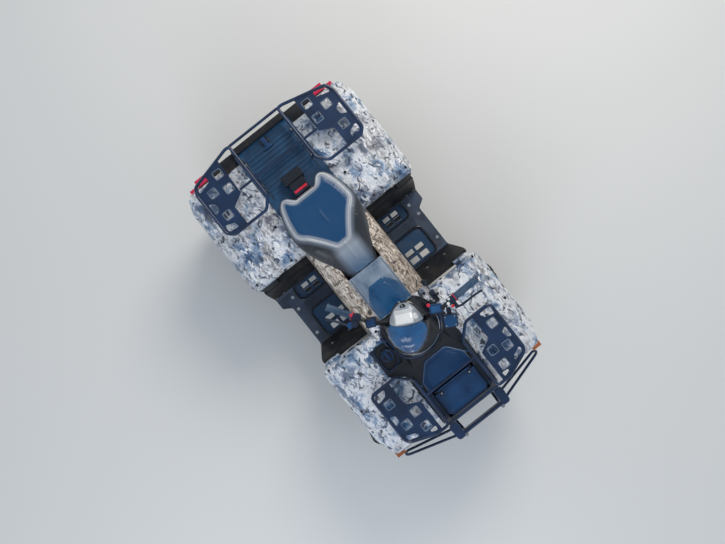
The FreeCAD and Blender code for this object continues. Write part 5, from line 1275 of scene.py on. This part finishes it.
# Instrument pod, controls and grips: drawn with the bars straight, then turned with them
pod = {
    # half outline from the rear to the nose, as (x, y), and the heights along the middle, as (x, z)
    "outline": [(178, 0), (179, 26), (200, 53), (237, 81), (274, 103), (314, 115), (352, 110), (396, 92),
                (430, 63), (452, 38), (461, 14), (461, 0)],
    "spine": [(178, 1141), (225, 1168), (296, 1194), (345, 1199), (400, 1186), (440, 1163), (461, 1139)],
    # share of the outline and height under the rim, from the base up
    "foot": [(0.72, 1089), (0.88, 1093), (0.97, 1110), (1.0, 1128)],
    "middle": (318, 0), "rim": 1136, "crownPower": 2.4, "rimShare": 0.12,
    "rings": (1.0, 0.985, 0.95, 0.88, 0.78, 0.64, 0.48, 0.3, 0.12),
    "hood": [(284, -88, 8), (298, -60, 20), (304, 0, 30), (299, 50, 20), (292, 82, 8), (318, 103, 20),
             (352, 101, 20), (392, 84, 20), (424, 55, 16), (446, 28, 10), (449, -22, 10), (430, -52, 16),
             (394, -85, 20), (352, -101, 20), (312, -104, 20)],
    "facet": [(307, -58, 10), (311, 0, 10), (308, 44, 8), (428, 26, 10), (438, 0, 10), (428, -34, 10)],
    "bezel": [(187, -20, 12), (188, 24, 12), (216, 56, 10), (252, 78, 20), (283, 93, 8), (290, 78, 8),
              (297, 44, 20), (301, 0, 20), (295, -60, 20), (282, -86, 8), (252, -80, 20), (212, -54, 10)],
    "screenFrame": block((219, 292), (-55, 43), 9),
    "screen": block((240, 287), (-49, 37), 5),
    "switch": (203, -2), "key": [(170, -16, 4), (176, -22, 4), (206, -5, 2), (203, 1, 2)],
}


def podMesh():
    outline = wholeOutline(pod["outline"], 3)
    cx, cy = pod["middle"]
    loops = list(pod["foot"])
    loops += [(share, None) for share in pod["rings"]]
    halfAt = pod["outline"][1:-1]
    points = []
    for share, height in loops:
        for x, y in outline:
            px, py = cx + (x - cx) * share, cy + (y - cy) * share
            if height is None:
                across = min(1, abs(py) / max(between(halfAt, px), 1))
                crown = between(pod["spine"], px)
                rise = crown - (crown - pod["rim"]) * (1 - (1 - across ** pod["crownPower"]) ** 0.5)
                rise = pod["rim"] + (rise - pod["rim"]) * min(1, (1.0 - share) / pod["rimShare"] + 0.08)
            else:
                rise = height
            points.append((px / 1000, py / 1000, rise / 1000))
    count = len(outline)
    faces = ringFaces(count, len(loops))
    faces.append(tuple(reversed(range(count))))
    last = (len(loops) - 1) * count
    faces.append(tuple(last + index for index in range(count)))
    return tidyMesh(shapeMesh("pod", points, faces), 0.0003)


def roundOutline(x, y, radius, count=24):
    return [(x + radius * math.cos(2 * math.pi * k / count), y + radius * math.sin(2 * math.pi * k / count))
            for k in range(count)]


def makePod():
    shape = podMesh()
    under = surfaceOf(shape)
    body = addPiece("pod_body", shape, "blackGloss", "steering", 40, barPlace)
    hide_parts("instrument_pod")
    # name, outline, lift, finish, edge, middle
    for name, outline, lift, finish, edge, middle in (
            ("hood", rounded(pod["hood"]), 3.0, "gloss", 2.4, None),
            ("hood_facet", rounded(pod["facet"]), 4.6, "gloss", 2.0, None),
            ("bezel", rounded(pod["bezel"]), 2.2, "bezel", 1.6, (246, 0)),
            ("screen_frame", pod["screenFrame"], 3.6, "screenFrame", 1.2, None),
            ("screen", pod["screen"], 4.4, "screen", 0.8, None)):
        step, rings = (6, 10) if name == "hood" else (7, 9)
        skin("pod_" + name, outline, under, lift, finish, "steering", edge, step, rings, middle, barPlace)
    x, y = pod["switch"]
    top = drop(under, x, y)[0].z
    slab("pod_switch", roundOutline(x, y, 14), top - 4, top + 7, "blackGloss", "steering", 1.5, barPlace)
    slab("pod_key", rounded(pod["key"]), top + 6, top + 9, "zinc", "steering", 0.8, barPlace)


controls = {
    # name, x range, y range, corner, low, high, finish
    "blocks": [
        ("switch_block_left", (222, 268), (132, 196), 8, 1136, 1186, "lid"),
        ("switch_cap_left", (228, 262), (140, 188), 6, 1184, 1190, "gloss"),
        ("reservoir_left", (284, 352), (190, 262), 10, 1146, 1182, "panel"),
        ("reservoir_lid_left", (288, 348), (194, 258), 9, 1181, 1188, "lid"),
        ("clutch_arm_left", (250, 292), (214, 238), 6, 1152, 1172, "panel"),
        ("throttle_block_right", (228, 280), (-206, -150), 10, 1138, 1186, "panel"),
        ("throttle_cap_right", (234, 274), (-198, -158), 8, 1184, 1190, "lid"),
    ],
    # name, x, y, radius, low, high, finish
    "caps": [
        ("start_button", 219, 131, 9, 1180, 1197, "redBar"),
        ("light_button", 244, 252, 8, 1188, 1201, "redBar"),
        ("horn_button", 206, 238, 7, 1190, 1200, "screenFrame"),
        ("mode_button", 228, 232, 8, 1190, 1199, "screen"),
        ("reservoir_cap_right", 246, -282, 17.6, 1199, 1206, "lid"),
        ("stop_button", 196, -268, 8, 1196, 1206, "redBar"),
    ],
    # the left grip's way outwards and its inner end
    "along": Vector((-0.4906, 0.8698, -0.0535)), "start": Vector((199.8, 276.3, 1167.5)),
    "ribCount": 19, "ribStep": 6.1, "gripRadius": 17.3, "ribRadius": 18.7,
    "ringSection": [(-11.5, 19), (-11.5, 24.2), (-7.5, 24.2), (-7.5, 19)],
    "plugSection": [(133, 0.01), (133, 15), (138, 14), (140, 10), (140.5, 0.01)],
    "clips": [(266, 156, 1168), (282, 112, 1142)], "clipTurns": (0, 0.9, 1.8, 2.7, 3.6, 4.5, 5.4),
    "screws": [(x, y, 1189) for x in (296, 340) for y in (202, 250)],
    "cables": [
        [(240, 204, 1188), (262, 160, 1176), (277, 122, 1152), (288, 92, 1128), (296, 70, 1118)],
        [(252, 208, 1178), (272, 162, 1160), (286, 122, 1138), (297, 92, 1120), (303, 70, 1112)],
        [(232, -214, 1190), (258, -160, 1178), (272, -122, 1154), (284, -92, 1130), (292, -70, 1120)],
        [(246, -210, 1180), (270, -162, 1162), (284, -122, 1140), (296, -92, 1122), (302, -70, 1113)],
        [(226, -206, 1196), (246, -160, 1186), (262, -124, 1164), (276, -92, 1140), (285, -72, 1127)],
    ],
}


def gripPlace(hand):
    along, start = controls["along"].copy(), controls["start"] / 1000
    along.y, start.y = along.y * hand, start.y * hand
    return barPlace @ Matrix.Translation(start) @ along.to_track_quat("Y", "Z").to_matrix().to_4x4()


def makeControls():
    for name, x, y, corner, low, high, finish in controls["blocks"]:
        slab(name, block(x, y, corner), low, high, finish, "steering", 2.5, barPlace)
    for name, x, y, radius, low, high, finish in controls["caps"]:
        slab(name, roundOutline(x, y, radius, 20), low, high, finish, "steering", 1.2, barPlace)
    screws = [(point, (0, 0, 1)) for point in controls["screws"]]
    boltRow("reservoir_screws", screws, "zinc", "steering", 2.6, 2, 16, 4, barPlace)
    sweep("control_cables", controls["cables"], 3.2, "hose", "steering", barPlace)
    clips = []
    for x, y, z in controls["clips"]:
        for side in (1, -1):
            clips.append([(x + 15 * math.cos(turn), side * (y + 4 * math.cos(turn)), z + 13 * math.sin(turn))
                          for turn in controls["clipTurns"]])
    sweep("cable_clips", clips, 1.8, "blackGloss", "steering", barPlace, closed=True)
    # Grips: moulded ribs along the sleeve, a red ring at the inner end and a plug at the outer end
    valley, crest = controls["gripRadius"], controls["ribRadius"]
    ridges = [(2, 15.5)]
    for rib in range(controls["ribCount"]):
        at = 4 + rib * controls["ribStep"]
        ridges += [(at, valley), (at + 1.1, crest), (at + 3.6, crest), (at + 4.7, valley)]
    ridges += [(121, 15.5)]
    for name, section, finish, closed in (("grip_ribs", ridges, "grip", True),
                                          ("grip_rings", controls["ringSection"], "redBar", True),
                                          ("grip_plugs", controls["plugSection"], "blackGloss", False)):
        pair = []
        for hand in (1, -1):
            mesh = spinSection(name, section, 36, closed)
            mesh.transform(gripPlace(hand))
            pair.append(mesh)
        addPiece(name, joinMeshes(name, pair), finish, "steering", 50)


makePod()
makeControls()
print("pod and controls made")


# Running gear and small fittings
gear = {
    # foot and head of each damper in mm
    "dampers": {"front": ((605, 285, 418.6), (605, 185, 690)), "rear": ((-675, 305, 417), (-675, 185, 690))},
    "coilRadius": 24.5, "wire": 4.6, "turns": 8.5, "springEnds": (46, 44),
    "disc": {"inner": 46, "outer": 88, "low": -14.4, "high": -11.4}, "discSlots": 24,
    "nuts": 4, "nutCircle": 33,
    "rackHoles": [(605, 361), (751, 353), (723, 271), (820, 273), (-912, 401), (-767, 409), (-979, 315),
                  (-881, 315)],
    "holeHalf": 25.5,
    # outlines as x and y ranges, with the heights beside them
    "panSize": ((-579, -351), (-149, 149)), "panHeights": (708, 778),
    "fascia": ((-1054, -1016), (-188, 188)), "fasciaWing": ((-1048, -968), (184, 300)),
    "fasciaFoot": 690, "fasciaTop": 789, "wingTop": 758,
    "radiator": ((862, 878), (-92, 92)), "coreHeights": (496, 644),
    "tankHeights": {"top": (640, 664), "low": (478, 500)},
    "finCount": 30, "finStep": 6.1, "finMiddle": 570, "finSize": (4, 1.4, 140),
    # sections as (along, radius)
    "seatCup": [(14, 0.01), (14, 13), (22, 16), (34, 20), (38, 31), (44, 31), (45, 20), (45, 0.01)],
    "rod": [(40, 0.01), (40, 6.5), (156, 6.5), (156, 0.01)],
    "eye": [(-15, 6), (-15, 13), (-12, 15), (12, 15), (15, 13), (15, 6)],
    "bush": [(-17, 0.01), (-17, 6.5), (17, 6.5), (17, 0.01)],
    "hubCap": [(40, 0.01), (40, 25), (46, 26), (52, 24), (56, 18), (57.5, 9), (58, 0.01)],
    "valve": [(20, 0.01), (20, 5), (26, 5), (27, 3.5), (40, 3.5), (41, 4.2), (46, 4.2), (46.5, 0.01)],
    "valvePlace": (0, 0.012, 0.118),
    "caliper": [(58, -30, 8), (58, 30, 8), (96, 34, 12), (106, 0, 10), (96, -34, 12)], "caliperTurn": 200,
}


def springTree():
    # A coil spring with closed ends, standing along Z from the origin
    tree, given = newTree("coil_spring", [
        ("Turns", "Float", 8.0), ("Coil Radius", "Float", 0.025), ("Length", "Float", 0.2),
        ("Wire Radius", "Float", 0.0045)])
    coil = addNode(tree, "GeometryNodeCurveSpiral", {"Resolution": 20},
                   {"Rotations": given["Turns"], "Start Radius": given["Coil Radius"],
                    "End Radius": given["Coil Radius"], "Height": given["Length"]})
    wire = addNode(tree, "GeometryNodeCurvePrimitiveCircle", {"Resolution": 8},
                   {"Radius": given["Wire Radius"]})
    tube = addNode(tree, "GeometryNodeCurveToMesh", {"Fill Caps": True},
                   {"Curve": coil.outputs[0], "Profile Curve": wire.outputs[0]})
    return endTree(tree, given, tube.outputs[0])


def makeDampers():
    coils = springTree()
    bodies, rods = [], []
    for end, (foot, head) in gear["dampers"].items():
        for hand, sign in (("left", 1), ("right", -1)):
            low = Vector((foot[0], foot[1] * sign, foot[2])) / 1000
            high = Vector((head[0], head[1] * sign, head[2])) / 1000
            length = (high - low).length * 1000
            # Z of the spring and Y of the turned sections run from the foot to the head
            upright = Matrix.Translation(low) @ (high - low).to_track_quat("Z", "X").to_matrix().to_4x4()
            along = Matrix.Translation(low) @ (high - low).to_track_quat("Y", "X").to_matrix().to_4x4()
            start, stop = gear["springEnds"]
            base = bpy.data.meshes.new("start")
            base.from_pydata([(0, 0, 0)], [], [])
            place = upright @ Matrix.Translation((0, 0, start / 1000))
            grow("spring_" + end + "_" + hand, coils, base, {
                "Turns": gear["turns"], "Coil Radius": gear["coilRadius"] / 1000,
                "Length": (length - start - stop) / 1000, "Wire Radius": gear["wire"] / 1000}, "redBar",
                "chassis", place, 60)
            top = length - stop
            tube = [(150, 0.01), (150, 17), (152, 18.5), (top - 30, 18.5), (top - 28, 20), (top - 3, 20),
                    (top - 2, 31), (top + 6, 31), (top + 8, 22), (top + 22, 19), (top + 30, 12),
                    (top + 30, 0.01)]
            for section in (tube, gear["seatCup"]):
                mesh = spinSection("damper", section, 28)
                mesh.transform(along)
                bodies.append(mesh)
            rod = spinSection("rod", gear["rod"], 20)
            rod.transform(along)
            rods.append(rod)
            # Eyes with their bushes, lying along X
            for point in (low, high):
                crosswise = Matrix.Translation(point) @ Matrix.Rotation(math.radians(-90), 4, "Z")
                eye = spinSection("eye", gear["eye"], 28, True)
                bush = spinSection("bush", gear["bush"], 20)
                for mesh, group in ((eye, bodies), (bush, rods)):
                    mesh.transform(crosswise)
                    group.append(mesh)
    dampers = addPiece("damper_bodies", joinMeshes("damper_bodies", bodies), "spring", "chassis", 40)
    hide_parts("dampers")
    addPiece("damper_rods", joinMeshes("damper_rods", rods), "damperRod", "chassis", 40)


def discMesh(size, count):
    # Rubbing ring with radial slots, on a plain hub ring
    low, high = size["low"], size["high"]
    parts = []
    for name, near, far in (("disc_hub", size["inner"], size["inner"] + 16),
                            ("disc_rim", size["outer"] - 5, size["outer"])):
        parts.append(spinSection(name, [(low, near), (low, far), (high, far), (high, near)], 48, True))
    step = 2 * math.pi / count
    for number in range(count):
        line = [(size["outer"] - 4, (number + share) * step) for share in (0.06, 0.35, 0.65, 0.88)]
        line += [(size["inner"] + 15, (number + share + 0.3) * step) for share in (0.88, 0.65, 0.35, 0.06)]
        flat = [(r * math.cos(turn), r * math.sin(turn)) for r, turn in line]
        plate = slabMesh("disc_plate", flat, -high, -low, 0.3)
        plate.transform(Matrix.Rotation(math.radians(90), 4, "X"))
        parts.append(plate)
    return joinMeshes("disc", parts)


def makeHubs():
    for corner, (place, wheel, carrier) in corners.items():
        cap = spinSection("cap", gear["hubCap"], 36)
        addPiece("hub_cap_" + corner, cap, "blackGloss", wheel, 40, place)
        spots = []
        for number in range(gear["nuts"]):
            turn = math.radians(45 + 360 * number / gear["nuts"])
            spots.append(((gear["nutCircle"] * math.cos(turn), 45, gear["nutCircle"] * math.sin(turn)),
                          (0, 1, 0)))
        boltRow("lug_nuts_" + corner, spots, "zinc", wheel, 8, 14, 6, 11, place)
        stem = spinSection("stem", gear["valve"], 14)
        addPiece("valve_" + corner, stem, "hose", wheel, 40, place @ Matrix.Translation(gear["valvePlace"]))
        if corner.startswith("front"):
            disc = discMesh(gear["disc"], gear["discSlots"])
            addPiece("brake_disc_" + corner, disc, "zinc", wheel, 30, place)
            caliper = slabMesh("caliper", rounded(gear["caliper"]), -30, -16.5, 3)
            lie = (Matrix.Rotation(math.radians(-90), 4, "X")
                   @ Matrix.Rotation(math.radians(gear["caliperTurn"]), 4, "Z"))
            addPiece("brake_caliper_" + corner, caliper, "engine", carrier, 40, place @ lie)


def makeFittings():
    slab("seat_pan", block(*gear["panSize"], 24), *gear["panHeights"], "guard", "chassis", 5)
    foot = gear["fasciaFoot"]
    slab("rear_fascia", block(*gear["fascia"], 8), foot, gear["fasciaTop"], "guard", "chassis", 4)
    along, (near, far) = gear["fasciaWing"]
    for hand, sign in (("left", 1), ("right", -1)):
        outline = block(along, sorted((sign * near, sign * far)), 8)
        slab("rear_fascia_" + hand, outline, foot, gear["wingTop"], "guard", "chassis", 4)
    racks = surfaceOf("front_rack", "rear_rack")
    # Raised lips round the rack holes, in silver: their pale colour is a painted highlight
    highlightLips = []
    half = gear["holeHalf"]
    for x, y in gear["rackHoles"]:
        for sign in (1, -1):
            edge = block((x - half, x + half), (sign * y - half, sign * y + half), 6)
            line = [drop(racks, px, py, 0.6) for px, py in edge]
            found = [spot[0] for spot in line if spot]
            top = max(point.z for point in found)
            highlightLips.append([Vector((point.x, point.y, top)) for point in found][::2])
    sweep("rack_hole_lips", highlightLips, 1.6, "silver", "chassis", closed=True)
    (x0, x1), (y0, y1) = gear["radiator"]
    core = block((x0 + 3, x1 - 3), (y0, y1), 3)
    slab("radiator_core", core, *gear["coreHeights"], "engine", "chassis", 1)
    outline = block((x0 - 4, x1 + 4), (y0 - 4, y1 + 4), 6)
    for name, heights in gear["tankHeights"].items():
        slab("radiator_" + name + "_tank", outline, *heights, "blackGloss", "chassis", 3)
    fins = [(gear["finCount"], (x, y0 + 4, gear["finMiddle"]), (0, gear["finStep"], 0), gear["finSize"])
            for x in (x1 - 1, x0 + 1)]
    ribs("radiator_fins", fins, "zinc", "chassis", 0.1)


makeDampers()
makeHubs()
makeFittings()
print("running gear and fittings made")


# Floor, light and camera
stage = {
    "floorSize": 40, "floorTone": "#e4e5e3", "cameraHeight": 5.0, "cameraX": -0.057, "cameraY": -0.023,
    "cameraTurn": 51.55, "fieldOfView": 51.8, "aim": (0, 0, 0.5),
    # name, place, size in m, watts, colour
    "lights": [("key_softbox", (-2.6, 3.2, 4.4), 2.4, 150, "#fff6ea"),
               ("fill_softbox", (3.4, -3.0, 3.2), 3.0, 70, "#eef4ff")],
    "skyLow": "#ffffff", "skyHigh": "#c6d3e4", "skyStrength": 0.62,
}


def makeFloor():
    half = stage["floorSize"] / 2
    mesh = bpy.data.meshes.new("studio_floor")
    mesh.from_pydata([(-half, -half, 0), (half, -half, 0), (half, half, 0), (-half, half, 0)], [],
                     [(0, 1, 2, 3)])
    floor = bpy.data.objects.new("studio_floor", mesh)
    scene.collection.objects.link(floor)
    mesh.materials.append(newMaterial("painted_studio_floor", stage["floorTone"], 0.9)[0])


def makeLight(name, place, size, watts, colour):
    lamp = bpy.data.lights.new(name, "AREA")
    lamp.shape = "DISK"
    lamp.size = size
    lamp.energy = watts
    lamp.color = linear(colour)[:3]
    holder = bpy.data.objects.new(name, lamp)
    scene.collection.objects.link(holder)
    holder.location = place
    holder.rotation_euler = (Vector(stage["aim"]) - Vector(place)).to_track_quat("-Z", "Y").to_euler()


makeFloor()
for light in stage["lights"]:
    makeLight(*light)
world = bpy.data.worlds.new("studio")
scene.world = world
world.use_nodes = True
sky = world.node_tree
sky.nodes.clear()
ray = addNode(sky, "ShaderNodeTexCoord")
high = addNode(sky, "ShaderNodeSeparateXYZ", {}, {"Vector": ray.outputs["Generated"]})
fade = addNode(sky, "ShaderNodeValToRGB", {}, {"Fac": high.outputs["Z"]})
fade.color_ramp.elements[0].color = linear(stage["skyLow"])
fade.color_ramp.elements[1].color = linear(stage["skyHigh"])
glow = addNode(sky, "ShaderNodeBackground", {"Strength": stage["skyStrength"]},
               {"Color": fade.outputs["Color"]})
addNode(sky, "ShaderNodeOutputWorld", {}, {"Surface": glow.outputs[0]})

camera = bpy.data.cameras.new("overhead_camera")
camera.angle = math.radians(stage["fieldOfView"])
eye = bpy.data.objects.new("overhead_camera", camera)
scene.collection.objects.link(eye)
eye.location = (stage["cameraX"], stage["cameraY"], stage["cameraHeight"])
eye.rotation_euler = (0, 0, math.radians(stage["cameraTurn"]))
scene.camera = eye
scene.view_settings.view_transform = "Standard"
